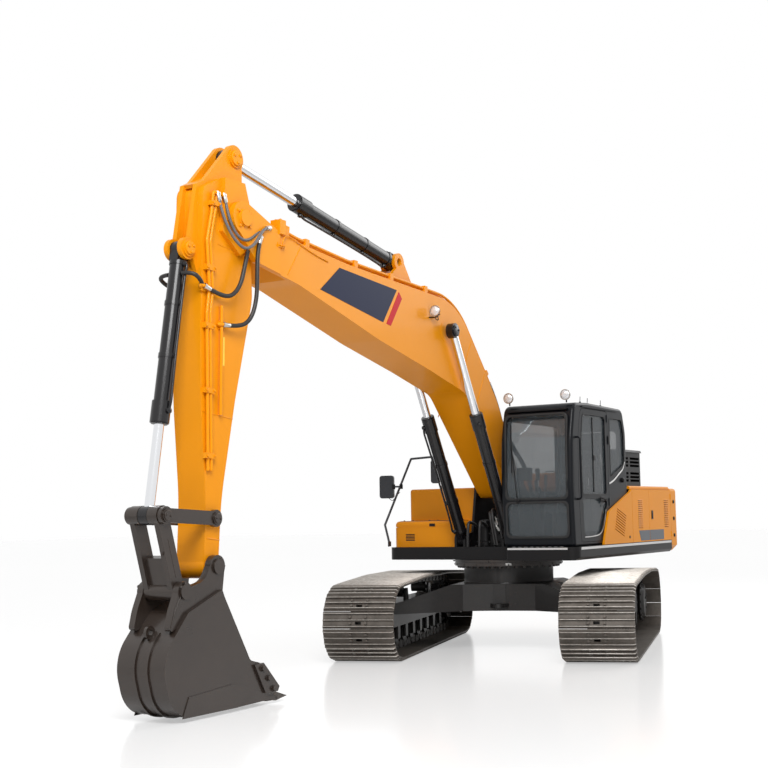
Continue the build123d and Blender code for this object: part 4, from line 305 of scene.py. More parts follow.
chain_steel.feed(
    Base_Color=chain_steel.mix(grease_film, (0.018, 0.016, 0.015), (0.06, 0.052, 0.045)),
    Roughness=(0.3 + grease_film * 0.4).clip(),
)

TRACK_GAUGE = 2.59
SHOE_HALF = 0.4
SHOE_COUNT = 49
BAR_HEIGHT = 0.042
SHOE_PLATE = 0.014
CHAIN_DEPTH = 0.095
PIN_DEPTH = 0.05
PIN_RADIUS = 0.021
PIN_HALF = 0.099
LINK_HALF = 0.011
LINK_END = 0.045
# radius of the shoes' inner faces round the idler and the sprocket
WHEEL_RADIUS = 0.383
WHEEL_Z = BAR_HEIGHT + WHEEL_RADIUS
IDLER_X = 1.71
SPROCKET_X = -1.7
# (x, z) of the line over the two carrier rollers
CARRIERS = ((0.52, 0.856), (-0.62, 0.856))
# a bar's half width at its foot, shoulder and top, as shares of the shoe's length
BAR_FOOT, BAR_SHOULDER, BAR_TOP = 0.062, 0.026, 0.014
SHOULDER_HEIGHT = 0.038
# across one shoe: share of its length, height over its inner face
SHOE_PROFILE = [(0.005, 0), (0.005, 0.009), (0.05, SHOE_PLATE)]
for bar in (0.13, 0.5, 0.87):
    SHOE_PROFILE += [
        (bar - BAR_FOOT, SHOE_PLATE), (bar - BAR_SHOULDER, SHOULDER_HEIGHT), (bar - BAR_TOP, BAR_HEIGHT),
        (bar + BAR_TOP, BAR_HEIGHT), (bar + BAR_SHOULDER, SHOULDER_HEIGHT), (bar + BAR_FOOT, SHOE_PLATE),
    ]
SHOE_PROFILE += [(0.945, SHOE_PLATE), (0.985, 0.008), (0.985, 0)]
# the profile's points on each side of the window that lets mud out
BEFORE_WINDOW = [point for point in SHOE_PROFILE if point[0] < 0.2] + [(0.235, SHOE_PLATE), (0.235, 0)]
AFTER_WINDOW = [(0.405, 0), (0.405, SHOE_PLATE)] + [point for point in SHOE_PROFILE if point[0] > 0.42]
WINDOW_HALF = 0.034
SHOE_BOLTS = [(share, across) for share in (0.315, 0.685) for across in (-0.088, 0.088)]
ARC_STEPS = 24


def bar_tops(profile):
    """Which strips of a shoe's profile lie on top of its bars."""
    return {i for i, (a, b) in enumerate(zip(profile, profile[1:])) if min(a[1], b[1]) >= SHOULDER_HEIGHT}


def track_line():
    """Closed line of the shoes' inner faces round one track, as (x, z)."""
    arcs = []
    for centre_x, carrier, sense in ((IDLER_X, CARRIERS[0], -1), (SPROCKET_X, CARRIERS[1], 1)):
        reach = hypot(carrier[0] - centre_x, carrier[1] - WHEEL_Z)
        leave = atan2(carrier[1] - WHEEL_Z, carrier[0] - centre_x) + sense * acos(WHEEL_RADIUS / reach)
        begin, end = (-pi / 2, leave) if sense < 0 else (leave, 1.5 * pi)
        turns = [begin + (end - begin) * n / ARC_STEPS for n in range(ARC_STEPS + 1)]
        arcs.append([
            (centre_x + WHEEL_RADIUS * cos(turn), WHEEL_Z + WHEEL_RADIUS * sin(turn)) for turn in turns
        ])
    return arcs[0] + list(CARRIERS) + arcs[1] + arcs[0][:1]


def chain_pins():
    """Where the line is cut into equal shoes, as vectors (x, z)."""
    line = [Vector(point) for point in track_line()]
    pitch = sum((b - a).length for a, b in zip(line, line[1:])) / SHOE_COUNT
    pins, run = [], 0.0
    for a, b in zip(line, line[1:]):
        while len(pins) < SHOE_COUNT and len(pins) * pitch <= run + (b - a).length:
            pins.append(a + (b - a).normalized() * (len(pins) * pitch - run))
        run += (b - a).length
    return pins


def add_shoe(track, start, end, track_y):
    """One shoe, its four bolts and the links under it, from one chain pin to the next."""
    ahead = (end - start).normalized()
    out = Vector((ahead.y, -ahead.x))
    pitch = (end - start).length

    def on_shoe(share, rise, across):
        flat = start + ahead * pitch * share + out * rise
        return Vector((flat.x, track_y + across, flat.y))

    def shoe_ring(profile, across, bar_share=1.0):
        """The profile at one width, its bars cut down to a share of their height."""
        return [
            on_shoe(share, min(rise, SHOE_PLATE) + max(rise - SHOE_PLATE, 0) * bar_share, across)
            for share, rise in profile
        ]

    for sense in (-1, 1):
        rings = [shoe_ring(SHOE_PROFILE, sense * SHOE_HALF, 0.35)]
        rings += [shoe_ring(SHOE_PROFILE, sense * across) for across in (SHOE_HALF - 0.022, WINDOW_HALF)]
        track.skin(rings, bright=bar_tops(SHOE_PROFILE))
    for part in (BEFORE_WINDOW, AFTER_WINDOW):
        rings = [shoe_ring(part, across) for across in (-WINDOW_HALF, WINDOW_HALF)]
        track.skin(rings, bright=bar_tops(part))
    for share, across in SHOE_BOLTS:
        track.bolt(on_shoe(share, SHOE_PLATE, across), (out.x, 0, out.y), 0.03, 0.02)
    # links: each runs outside its neighbour at one pin and inside it at the other
    track.tone = 2
    for rail in (-0.07, 0.07):
        for pin_share, to_share, step in ((0.0, 0.56, 0.0115), (1.0, 0.44, -0.0115)):
            sense = 1 if to_share > pin_share else -1
            round_end = [
                (pin_share - sense * sin(k * pi / 6) * 0.043 / pitch, cos(k * pi / 6) * LINK_END - PIN_DEPTH)
                for k in range(7)
            ]
            outline = [(to_share, -0.004), *round_end, (to_share, -CHAIN_DEPTH)]
            across = rail + step * (1 if rail > 0 else -1)
            track.skin([
                [on_shoe(share, rise, across + half) for share, rise in outline]
                for half in (-LINK_HALF, LINK_HALF)
            ])
    track.rod(on_shoe(0, -PIN_DEPTH, -PIN_HALF), on_shoe(0, -PIN_DEPTH, PIN_HALF), PIN_RADIUS, 12)
    track.tone = 0


pins = chain_pins()
for side, track_y in (("left", TRACK_GAUGE / 2), ("right", -TRACK_GAUGE / 2)):
    track = Shape()
    for start, end in zip(pins, pins[1:] + pins[:1]):
        add_shoe(track, start, end, track_y)
    shown = track.done(
        "track_chain_" + side, "undercarriage", (shoe_steel, worn_and_highlit_steel, chain_steel),
        smooth=28, place=LOWER,
    )
    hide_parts("track_" + side)

# ---- Idlers, sprockets and rollers -----------------------------------------------------
# Cast steel wheels that carry the chains. The idler turns freely in front, the sprocket
# behind is bolted to the travel drive, whose round cover shows on the outer side.


def paint(name, color, dusty=0.15, rough=0.28, coat=0.5, dust=(0.3, 0.25, 0.19), gloss=0.5):
    """Sprayed machine paint: slight orange peel, faint cloudiness, dust that thickens downwards."""
    finish = Finish(
        name, color, rough, 0.0, Coat_Weight=coat, Coat_Roughness=0.08, Specular_IOR_Level=gloss
    )
    clouds = finish.noise(1.7, 4.0, 0.6)
    grain = finish.noise(38.0, 5.0, 0.65)
    low = 1 - finish.height().between(0.2, 1.6)
    dirt = ((clouds * 0.6 + grain * 0.5 - 0.42) * (0.35 + low * 1.6) * (dusty * 3.0)).clip()
    shade = finish.mix(
        clouds, tuple(c * 0.93 for c in color), tuple(min(1, c * 1.05) for c in color)
    )
    finish.feed(
        Base_Color=finish.mix(dirt, shade, dust),
        Roughness=(rough + grain * 0.06 + dirt * 0.4).clip(),
    )
    return finish.bump(finish.noise(420.0, 2.0), 0.0004, 0.15)


under_black = paint("undercarriage_black", (0.011, 0.01, 0.01), 0.1, 0.42, 0.15, (0.07, 0.06, 0.05), 0.35)
for part in ("idler", "sprocket", "rollers"):
    for side in ("left", "right"):
        under_black.coat(dress(nodes[part + "_" + side], 0.004))

DRIVE_COVER = [
    (0, 0.255), (0.012, 0.262), (0.03, 0.262), (0.034, 0.235), (0.075, 0.205), (0.082, 0.15), (0.086, 0.03),
]
HUB_CAP = [(0, 0.085), (0.014, 0.085), (0.02, 0.07), (0.024, 0.02)]
RIM_BOLTS = [2 * pi * k / 16 for k in range(16)]
OIL_PLUGS = (0.5, 2.2, 4.6)
CAP_BOLTS = [pi / 4 + pi * k / 2 for k in range(4)]
for side, sense in (("left", 1), ("right", -1)):
    drive = Vector((SPROCKET_X, sense * (TRACK_GAUGE / 2 + 0.141), WHEEL_Z))
    hub = Vector((IDLER_X, drive.y, WHEEL_Z))
    outward = Vector((0, sense, 0))
    cover = Shape()
    cover.turned(drive, outward, DRIVE_COVER, 40)
    cover.side_bolts(drive + outward * 0.03, sense, 0.247, RIM_BOLTS, 0.024, 0.016)
    cover.side_bolts(drive + outward * 0.082, sense, 0.09, OIL_PLUGS, 0.034, 0.014)
    cover.turned(hub, outward, HUB_CAP, 28)
    cover.side_bolts(hub + outward * 0.02, sense, 0.055, CAP_BOLTS, 0.022, 0.012)
    cover.done("drive_cover_" + side, "undercarriage", under_black, 0.003, place=LOWER)

# ---- Track frames and carbody ----------------------------------------------------------
# Welded steel boxes, sprayed black. The carbody's legs are welded to both track frames,
# and its weld seams stand a little proud of the plates.
for part in ("track_frame_left", "track_frame_right", "carbody"):
    under_black.coat(dress(nodes[part], 0.006))

seams = Shape()
SEAM = 0.007
BODY_END = 0.64
COVER_FACE = BODY_END + 0.015
NECK_RADIUS = 0.549
for end in (-1, 1):
    seam_x = end * (BODY_END + 0.002)
    for across in (-0.077, 0.077):
        seams.rod((seam_x, across, 0.478), (seam_x, across, 0.772), SEAM, 8)
    # cover plate low beside the middle, with a bolt at each corner
    near, far = sorted((end * BODY_END, end * COVER_FACE))
    seams.box((near, 0.17, 0.53), (far, 0.39, 0.7))
    for across in (0.19, 0.37):
        for rise in (0.55, 0.68):
            seams.bolt((end * COVER_FACE, across, rise), (end, 0, 0), 0.018, 0.012)
turns = [2 * pi * k / 48 for k in range(49)]
seams.hose([(NECK_RADIUS * cos(turn), NECK_RADIUS * sin(turn), 0.782) for turn in turns], 0.009, 8)
seams.done("carbody_seams", "undercarriage", under_black, place=LOWER)

# ---- Slew ring -------------------------------------------------------------------------
# Ball bearing ring of forged steel between carbody and deck, bolted all round from above
# and below, brown with oil. A small blank plate is riveted to its outer race.
ring_brown = paint("slew_ring_brown", (0.028, 0.021, 0.018), 0.12, 0.36, 0.2, (0.1, 0.085, 0.07), 0.4)
ring_brown.coat(dress(nodes["slew_ring"], 0.003))
ring_low, ring_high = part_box("slew_ring")
RING_RADIUS = (ring_high.x - ring_low.x) / 2
RING_BOLTS = 40
ring_bolts = Shape()
for k in range(RING_BOLTS):
    turn = 2 * pi * k / RING_BOLTS
    reach = Vector((cos(turn), sin(turn), 0))
    ring_bolts.bolt(reach * (RING_RADIUS - 0.045) + Vector((0, 0, ring_low.z)), (0, 0, -1), 0.03, 0.026)
    if k % 2:
        ring_bolts.bolt(reach * RING_RADIUS + Vector((0, 0, ring_low.z + 0.018)), reach, 0.016, 0.008)
# grease nipples round the upper edge
for turn in (0.1, 0.75, 1.5, 2.6, 4.0, 5.2):
    reach = Vector((cos(turn), sin(turn), 0))
    upper = Vector((0, 0, ring_high.z - 0.02))
    ring_bolts.rod(reach * (RING_RADIUS - 0.01) + upper, reach * (RING_RADIUS + 0.022) + upper, 0.007, 8)
ring_bolts.done(
    "slew_ring_bolts", "undercarriage", ring_brown, 0.0, place=Matrix.Translation((SWING_X, 0, 0))
)
white_plate = Finish("blank_plate", (0.62, 0.62, 0.6), 0.45)
plate = Shape()
PLATE_TURN = radians(24)
PLATE_STEP = 0.026
PLATE_INNER, PLATE_OUTER = RING_RADIUS + 0.001, RING_RADIUS + 0.004
for k in range(4):
    near, far = PLATE_TURN + k * PLATE_STEP, PLATE_TURN + (k + 1) * PLATE_STEP
    plate.block([
        (SWING_X + radius * cos(turn), radius * sin(turn), ring_low.z + 0.012)
        for turn, radius in ((near, PLATE_INNER), (far, PLATE_INNER), (far, PLATE_OUTER), (near, PLATE_OUTER))
    ], (0, 0, 0.026))
plate.done("slew_ring_plate", "undercarriage", white_plate)

# ---- Deck ------------------------------------------------------------------------------
# Welded swing frame, sprayed black all over. A bright metal strip along the upper edge of the left side
# and round the front under the cab is a painted highlight on those edges.


def at(x, y, z):
    """A point of the upper machine, measured from the swing axis at ground level."""
    return Vector((SWING_X + x, y, z))


frame_black = paint("frame_black", (0.006, 0.0055, 0.006), 0.04, 0.34, 0.05, (0.06, 0.055, 0.05), 0.18)
frame_black.coat(dress(nodes["deck"], 0.006))
bright_strip = Finish("bright_strip", (0.62, 0.61, 0.6), 0.26, 0.9)
brushing = bright_strip.noise(60.0, 3.0, 0.6, (0.1, 1, 1))
bright_strip.feed(Roughness=(0.2 + brushing * 0.25).clip())
# painted highlight: a bright metal strip along the deck's upper edges
strip = Shape()
deck_low, deck_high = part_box("deck")
strip.box(
    (deck_low.x + 0.02, deck_high.y - 0.002, deck_high.z - 0.034),
    (deck_high.x - 0.118, deck_high.y + 0.004, deck_high.z - 0.006),
)
strip.box(
    (deck_high.x - 0.002, 0.46, deck_high.z - 0.03),
    (deck_high.x + 0.004, deck_high.y - 0.115, deck_high.z - 0.008),
)
strip.done("deck_edge_painted_highlight", "house", bright_strip, 0.0015)
treads = Shape()
for row in range(9):
    start = 0.52 + row * 0.075
    treads.box(
        (deck_high.x - 0.021, start, deck_high.z), (deck_high.x - 0.004, start + 0.04, deck_high.z + 0.003)
    )
treads.done("deck_tread", "house", bright_strip)
# the front ones of the bolts that hold the frame on its slew ring
DECK_BOLT_RADIUS = 0.6
deck_bolts = Shape()
for angle in range(-36, 37, 12):
    reach = Vector((cos(radians(angle)), sin(radians(angle)), 0)) * DECK_BOLT_RADIUS
    deck_bolts.bolt(at(0, 0, deck_high.z) + reach, (0, 0, 1), 0.03, 0.02)
deck_bolts.done("deck_bolts", "house", frame_black)

# ---- Boom tower, control valve and hoses at the boom's foot ----------------------------
# Two upright plates of the swing frame hold the boom. Behind and between them stand the
# swing motor and the control valve, cast iron sprayed black, with plated steel fittings.
frame_black.coat(dress(nodes["boom_tower"], 0.005))
plated = Finish("plated_fitting", (0.6, 0.6, 0.58), 0.28, 1.0)
tarnish = plated.noise(40.0, 4.0, 0.6)
plated.feed(Base_Color=plated.mix(tarnish, (0.42, 0.41, 0.39), (0.7, 0.7, 0.68)))
valve = Shape()
# the valve's body with two rows of spool ends
valve.box(at(0.24, 0.02, 1.216), at(0.5, 0.2, 1.42))
valve.box(at(0.27, 0.04, 1.42), at(0.47, 0.18, 1.475))
for row in range(5):
    across = 0.04 + row * 0.036
    valve.rod(at(0.5, across, 1.27), at(0.56, across, 1.27), 0.014, 12)
    valve.rod(at(0.5, across, 1.37), at(0.545, across, 1.37), 0.012, 12)
# swing motor on its ring of bolts
MOTOR = at(0.36, -0.12, 1.216)
valve.turned(MOTOR, (0, 0, 1), [
    (0, 0.11), (0.05, 0.11), (0.06, 0.095), (0.24, 0.09), (0.26, 0.075), (0.31, 0.07), (0.32, 0.03),
], 32)
for k in range(6):
    reach = Vector((cos(k * pi / 3), sin(k * pi / 3), 0)) * 0.098
    valve.bolt(MOTOR + reach + Vector((0, 0, 0.05)), (0, 0, 1), 0.02, 0.016)
# small block beside the valve, with four bolts in front
valve.box(at(0.55, 0.24, 1.22), at(0.6, 0.34, 1.33))
for across in (0.26, 0.32):
    for rise in (1.25, 1.3):
        valve.bolt(at(0.6, across, rise), (1, 0, 0), 0.022, 0.014)
valve.done("control_valve", "house", frame_black, 0.004)

fittings = Shape()
fittings.turned(at(0.585, 0.3, 1.505), (1, 0.2, 0), [
    (0, 0.042), (0.012, 0.044), (0.03, 0.044), (0.034, 0.038), (0.035, 0.02),
], 28)
for across in (0.05, 0.1, 0.15, 0.2):
    fittings.turned(at(0.46, across, 1.475), (0.35, 0, 1), [
        (0, 0.02), (0.03, 0.02), (0.031, 0.015), (0.07, 0.015), (0.071, 0.019), (0.1, 0.019),
    ], 6)
for lean in (-0.5, 0.45):
    fittings.turned(at(0.56, 0.17, 1.4), (0.1, lean, 1), [(0, 0.014), (0.13, 0.014)], 14)
fittings.done("valve_fittings", "house", plated, 0.001)

rubber = Finish("hose_rubber", (0.014, 0.013, 0.013), 0.48)
weave = rubber.noise(160.0, 2.0, 0.5)
rubber.feed(Roughness=(0.4 + weave * 0.2).clip()).bump(weave, 0.0006, 0.4)
grey_rubber = Finish("hose_rubber_grey", (0.115, 0.112, 0.118), 0.4)


def spline(points):
    """Points along a smooth line that follows the given ones."""
    curve = bpy.data.curves.new("line", "CURVE")
    curve.dimensions = "3D"
    curve.resolution_u = 7
    run = curve.splines.new("NURBS")
    run.points.add(len(points) - 1)
    for knot, point in zip(run.points, points):
        knot.co = (*point, 1)
    run.order_u = 3
    run.use_endpoint_u = True
    line = bpy.data.objects.new("line", curve)
    mesh = bpy.data.meshes.new_from_object(line)
    path = [vert.co.copy() for vert in mesh.vertices]
    bpy.data.objects.remove(line)
    bpy.data.meshes.remove(mesh)
    return path


def free_hose(name, points, diameter, finish):
    """A flexible hose between fittings on two bodies, made as a piece on neither body."""
    path = spline(points)
    piece = Shape().hose(path, diameter / 2, 14).done(name, None, finish)
    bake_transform(piece)
    return piece


def ferrules(name, body, spots, radius):
    """Plated sockets crimped on hose ends: each spot is a point and the way the hose leaves."""
    sockets = Shape()
    for point, way in spots:
        sockets.turned(Vector(point) - Vector(way).normalized() * 0.03, way, [
            (0, radius * 0.8), (0.012, radius * 0.8), (0.013, radius * 1.35), (0.03, radius * 1.35),
            (0.031, radius * 1.18), (0.085, radius * 1.18), (0.09, radius * 1.02),
        ], 14)
    return sockets.done(name, body, plated, smooth=30)


# short bent hoses between the valve and the deck, which don't move
short_hoses = Shape()
for across, reach, rise in ((0.06, 0.14, 0.07), (0.11, 0.18, 0.1), (0.16, 0.12, 0.04)):
    short_hoses.hose(spline([
        at(0.49, across, 1.56), at(0.53, across, 1.56 + rise), at(0.5 + reach, across + 0.03, 1.55 + rise),
        at(0.5 + reach, across + 0.06, 1.45), at(0.5 + reach * 0.8, across + 0.08, 1.24),
    ]), 0.016, 12)
for across, reach in ((-0.05, 0.11), (-0.18, 0.16)):
    short_hoses.hose(spline([
        at(0.44, across, 1.45), at(0.5 + reach, across, 1.55), at(0.53 + reach, across, 1.4),
        at(0.5 + reach, across - 0.02, 1.22),
    ]), 0.018, 12)
short_hoses.done("valve_hoses", "house", rubber)

FOOT = joint_at["boom_lift"]
TIP = joint_at["arm_swing"]


def beside(start, end, share, side, y):
    """Point at a share of the line from start to end, stepped to its left by shares of it."""
    run = end - start
    return Vector((start.x + run.x * share - run.z * side, y, start.z + run.z * share + run.x * side))


# the boom's back edge, from over its foot up to its bend, and the lower ends of the pipes on it
boom_back = beside(FOOT, TIP, 0.1467, 0.13, 0)
boom_bend = beside(FOOT, TIP, 0.3698, 0.2306, 0)
back_way = (boom_bend - boom_back).normalized()
back_out = Vector((-back_way.z, 0, back_way.x))
pipe_foot = boom_back + back_way * 0.2 + back_out * 0.05
FOOT_HOSE = 0.034
exits = []
for label, across, sink in (
    ("right2", -0.196, 0.0), ("right1", -0.146, 0.05), ("left1", 0.146, 0.05), ("left2", 0.196, 0.0),
):
    start = pipe_foot + Vector((0, across, 0))
    exits.append((start, -back_way))
    # the right pair bulges out past the boom's side, the left pair stays clear of the cab
    out = -0.2 - sink * 1.6 if across < 0 else 0.0
    free_hose("boom_foot_hose_" + label, [
        start, start - back_way * 0.25, at(0.44 - sink, across + out * 0.6, 2.62),
        at(0.1 - sink, across + out, 2.36), at(-0.12 - sink, across + out, 2.2),
        at(-0.3 - sink, across + out * 0.6, 1.95), at(-0.38 - sink, across * 1.04 + out * 0.1, 1.6),
        at(-0.38 - sink, across * 1.04, 1.24),
    ], FOOT_HOSE, rubber)
ferrules("boom_foot_ferrules", "boom", exits, FOOT_HOSE / 2)
manifold = Shape()
manifold.box(at(-0.5, -0.25, 1.216), at(-0.32, 0.25, 1.275))
manifold.done("hose_manifold", "house", frame_black, 0.006)

# ---- Pins ------------------------------------------------------------------------------
# Hardened steel pins, each held by a keeper. The pin at the boom's tip is sprayed over with
# the boom, and the one at its foot with the frame.
yellow = paint("machine_yellow", (0.78, 0.275, 0.002), 0.04, 0.32, 0.1, (0.5, 0.33, 0.14), 0.15)
yellow.coat(dress(nodes["boom_tip_pin"], 0.004))
frame_black.coat(dress(nodes["boom_foot_pin"], 0.004))

# ---- Boom ------------------------------------------------------------------------------
# Box beam of bent and welded steel plate, sprayed yellow, with cast ends for the pins.
# A dark blue sign panel with a slanting red bar is glued on each side, left blank.
yellow.coat(dress(nodes["boom"], 0.007, 30), dress(nodes["boom_pipes"], 0.003, 40))
sign_blue = Finish("sign_blue", (0.008, 0.013, 0.04), 0.4, 0.0, Specular_IOR_Level=0.12)
sign_red = Finish("sign_red", (0.5, 0.01, 0.018), 0.4, 0.0, Specular_IOR_Level=0.12)
BOOM_HALF = 0.235
# share of the line from foot to tip, share to its left: corners of the panel and the bar
SIGN = [(0.573, 0.1347), (0.5908, 0.0555), (0.7815, 0.0066), (0.7471, 0.0717)]
BAR = [(0.5657, 0.136), (0.5512, 0.1291), (0.5658, 0.0629), (0.5807, 0.0583)]
for side, sense in (("left", 1), ("right", -1)):
    for label, corners, finish in (("sign", SIGN, sign_blue), ("bar", BAR, sign_red)):
        sheet = Shape()
        outline = [beside(FOOT, TIP, *corner, sense * (BOOM_HALF + 0.0005)) for corner in corners]
        sheet.block(outline, (0, sense * 0.0025, 0))
        sheet.done("boom_%s_%s" % (label, side), "boom", finish, 0.001)
WELD = 0.005
TIP_FACE = 0.25
boom_trim = Shape()
for sense in (-1, 1):
    # butt welds across the side
    for share, low, high in ((0.868, -0.02, 0.04), (0.225, 0.055, 0.155), (0.30, 0.085, 0.19)):
        boom_trim.rod(
            beside(FOOT, TIP, share, low, sense * BOOM_HALF),
            beside(FOOT, TIP, share - 0.012, high, sense * BOOM_HALF), WELD, 8,
        )
    # collar round the tip's pin, and the bolts round it
    face = TIP + Vector((0, sense * TIP_FACE, 0))
    boom_trim.side_bolts(face, sense, 0.1, (0.6, 2.4, 3.9, 5.4), 0.024, 0.014)
    boom_trim.turned(face, (0, sense, 0), [(0, 0.078), (0.008, 0.078), (0.012, 0.072), (0.012, 0.05)], 32)
    # grease block near the nose, with its three nipples and its line
    block = beside(FOOT, TIP, 0.905, 0.012, sense * BOOM_HALF)
    boom_trim.box(block - Vector((0.05, 0.002, 0.02)), block + Vector((0.05, 0.002 + sense * 0.02, 0.02)))
    for step in (-0.03, 0.0, 0.03):
        nipple = block + Vector((step, sense * 0.018, 0))
        boom_trim.rod(nipple, nipple + Vector((0, sense * 0.022, 0)), 0.008, 8)
    boom_trim.hose(spline([
        block + Vector((0, sense * 0.034, 0.01)),
        block + Vector((-0.02, sense * 0.03, 0.08)),
        block + Vector((-0.12, sense * 0.012, 0.12)),
        beside(FOOT, TIP, 0.82, 0.05, sense * (BOOM_HALF + 0.008)),
        beside(FOOT, TIP, 0.78, 0.062, sense * (BOOM_HALF + 0.008)),
    ]), WELD, 8)
boom_trim.done("boom_trim", "boom", yellow)

# ---- Work lamps ------------------------------------------------------------------------
# Round lamps in pressed steel bowls: one on the boom's left side, two on the cab's roof.
# Each has a ribbed clear lens and a plated rim. The lens is painted as bright as the reflector behind it, a
# painted reflection, with painted highlights in bands along its ribs.
lens = Finish("lamp_lens", (0.74, 0.76, 0.78), 0.14, 0.35, Coat_Weight=1.0)
# painted reflection and painted highlight bands on the lens; the same bands give the ribs' relief
ribs_and_glints = lens.node("ShaderNodeTexWave", {"bands_direction": "Y"}, Vector=lens.place(), Scale=26.0)
lens.feed(Base_Color=lens.mix(ribs_and_glints, (0.5, 0.52, 0.55), (0.86, 0.87, 0.88))).bump(ribs_and_glints, 0.003, 0.5)
frame_black.coat(dress(nodes["boom_lamp"], 0.003, 40), dress(nodes["cab_lamps"], 0.003, 40))
LAMP_RADIUS = 0.062
RIM_INNER, RIM_OUTER, RIM_DEEP = 0.0535, 0.0625, 0.006


def lamp_front(name, body, x, y, z):
    """The lens and its ring in front of one lamp bowl whose rim ends at x."""
    front = Shape()
    front.turned((x - 0.012, y, z), (1, 0, 0), [
        (0, 0.052), (0.01, 0.052), (0.016, 0.044), (0.02, 0.03), (0.0215, 0.012), (0.0215, 0.001),
    ], 32)
    front.done(name, body, lens)
    turns = [2 * pi * k / 40 for k in range(40)]
    rim = Shape()
    rim.skin([
        [Vector((x - 0.004 + run, y + radius * cos(turn), z + radius * sin(turn))) for turn in turns]
        for run, radius in ((0, RIM_INNER), (RIM_DEEP, RIM_INNER), (RIM_DEEP, RIM_OUTER), (0, RIM_OUTER))
    ], closed=True)
    rim.done(name + "_rim", body, plated, 0.001)


lamp_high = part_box("boom_lamp")[1]
lamp_front("boom_lamp_front", "boom", lamp_high.x, lamp_high.y - LAMP_RADIUS, lamp_high.z - LAMP_RADIUS)
roof_lamp_low, roof_lamp_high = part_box("cab_lamps")
for side, lamp_y in (("inner", roof_lamp_low.y + LAMP_RADIUS), ("outer", roof_lamp_high.y - LAMP_RADIUS)):
    lamp_front("cab_lamp_front_" + side, "house", roof_lamp_high.x, lamp_y, roof_lamp_high.z - LAMP_RADIUS)
lead = Shape()
lead.hose(spline([
    (lamp_high.x - 0.05, lamp_high.y - LAMP_RADIUS, lamp_high.z - 0.1),
    (lamp_high.x - 0.14, lamp_high.y - 0.08, lamp_high.z - 0.16),
    (lamp_high.x - 0.1, BOOM_HALF + 0.012, lamp_high.z - 0.12),
    (lamp_high.x - 0.25, BOOM_HALF + 0.008, lamp_high.z - 0.06),
]), 0.005, 8)
lead.done("boom_lamp_lead", "boom", rubber)

# ---- Arm -------------------------------------------------------------------------------
# Box beam like the boom, narrower, sprayed yellow. Two steel pipes and a return pipe are
# clamped along its left side. A narrow label, left blank, is glued near the middle.
yellow.coat(dress(nodes["arm"], 0.006, 30), dress(nodes["arm_pipes"], 0.003, 40))
BUCKET_PIN = joint_at["bucket_curl"]
BUCKET_CYLINDER_FOOT = joint_at["bucket_cylinder_pivot"]
ARM_TAIL = at(5.355, 0, 4.8)
ARM_HALF = 0.148
EAR_FACE = 0.11
THIRDS = (0, 2 * pi / 3, 4 * pi / 3)


def on_arm(share, side, y):
    """Point beside the line from the bucket's pin up to the boom's tip pin."""
    return beside(BUCKET_PIN, TIP, share, side, y)


arm_trim = Shape()
for sense in (-1, 1):
    # butt welds across the side
    for share, low, high in ((0.905, -0.07, 0.066), (0.42, -0.083, 0.048), (0.075, -0.028, 0.027)):
        arm_trim.rod(on_arm(share, low, sense * ARM_HALF), on_arm(share, high, sense * ARM_HALF), 0.0045, 8)
    # caps over the ends of two pins, each with three bolts
    for centre, radius in ((BUCKET_CYLINDER_FOOT, 0.058), (ARM_TAIL, 0.072)):
        face = centre + Vector((0, sense * EAR_FACE, 0))
        arm_trim.turned(face, (0, sense, 0), [
            (0, radius), (0.014, radius), (0.018, radius - 0.005), (0.018, 0.01),
        ], 32)
        outer = face + Vector((0, sense * 0.018, 0))
        arm_trim.side_bolts(outer, sense, 0.62 * radius, [0.4 + third for third in THIRDS], 0.02, 0.012)
    hub = BUCKET_PIN + Vector((0, sense * ARM_HALF, 0))
    arm_trim.turned(hub, (0, sense, 0), [(-0.001, 0.085), (0.005, 0.083), (0.005, 0.045)], 32)
# steel elbows that turn the pipes' upper ends towards the boom, and the clamp that holds them
PIPE_TOP = on_arm(1.0, -0.106, 0.171)
elbow_ends = []
for step in (-0.021, 0.021):
    top = PIPE_TOP + Vector((step, 0, 0))
    end = top + Vector((-0.085 + step, 0.012, 0.125))
    arm_trim.hose(spline([
        top - Vector((-0.01, 0, 0.05)), top + Vector((-0.008, 0, 0.085)),
        top + Vector((-0.02 + step * 0.5, 0.006, 0.155)), end,
    ]), 0.015, 14)
    elbow_ends.append(end)
clamp = PIPE_TOP + Vector((-0.005, 0, 0.04))
arm_trim.box(clamp - Vector((0.06, 0.022, 0.02)), clamp + Vector((0.06, 0.028, 0.02)))
for step in (-0.04, 0.04):
    arm_trim.bolt(clamp + Vector((step, 0.028, 0)), (0, 1, 0), 0.018, 0.012)
# grease line down the right side
GREASE_LINE = [(0.96, 0.02), (0.9, 0.04), (0.78, 0.05), (0.6, 0.03), (0.4, 0.01), (0.2, 0.0), (0.06, 0.0)]
arm_trim.hose(spline([on_arm(*spot, -ARM_HALF - 0.008) for spot in GREASE_LINE]), 0.006, 8)
arm_trim.done("arm_trim", "arm", yellow)

# bolts of the four pipe clamps, sprayed with the arm
clamp_bolts = Shape()
for share, side in ((0.825, -0.104), (0.66, -0.092), (0.48, -0.0705), (0.3, -0.049)):
    spot = on_arm(share, side, ARM_HALF + 0.043)
    for step in (-0.047, 0.047):
        clamp_bolts.bolt(spot + Vector((step, 0, 0)), (0, 1, 0), 0.018, 0.013)
clamp_bolts.done("arm_clamp_bolts", "arm", yellow)

LABEL = [(0.646, -0.012), (0.644, -0.028), (0.562, -0.02), (0.564, -0.004)]
sheet = Shape()
sheet.block([on_arm(*corner, ARM_HALF + 0.0005) for corner in LABEL], (0, 0.002, 0))
label_yellow = Finish("label_yellow", (0.86, 0.62, 0.05), 0.35)
sheet.done("arm_label", "arm", label_yellow)

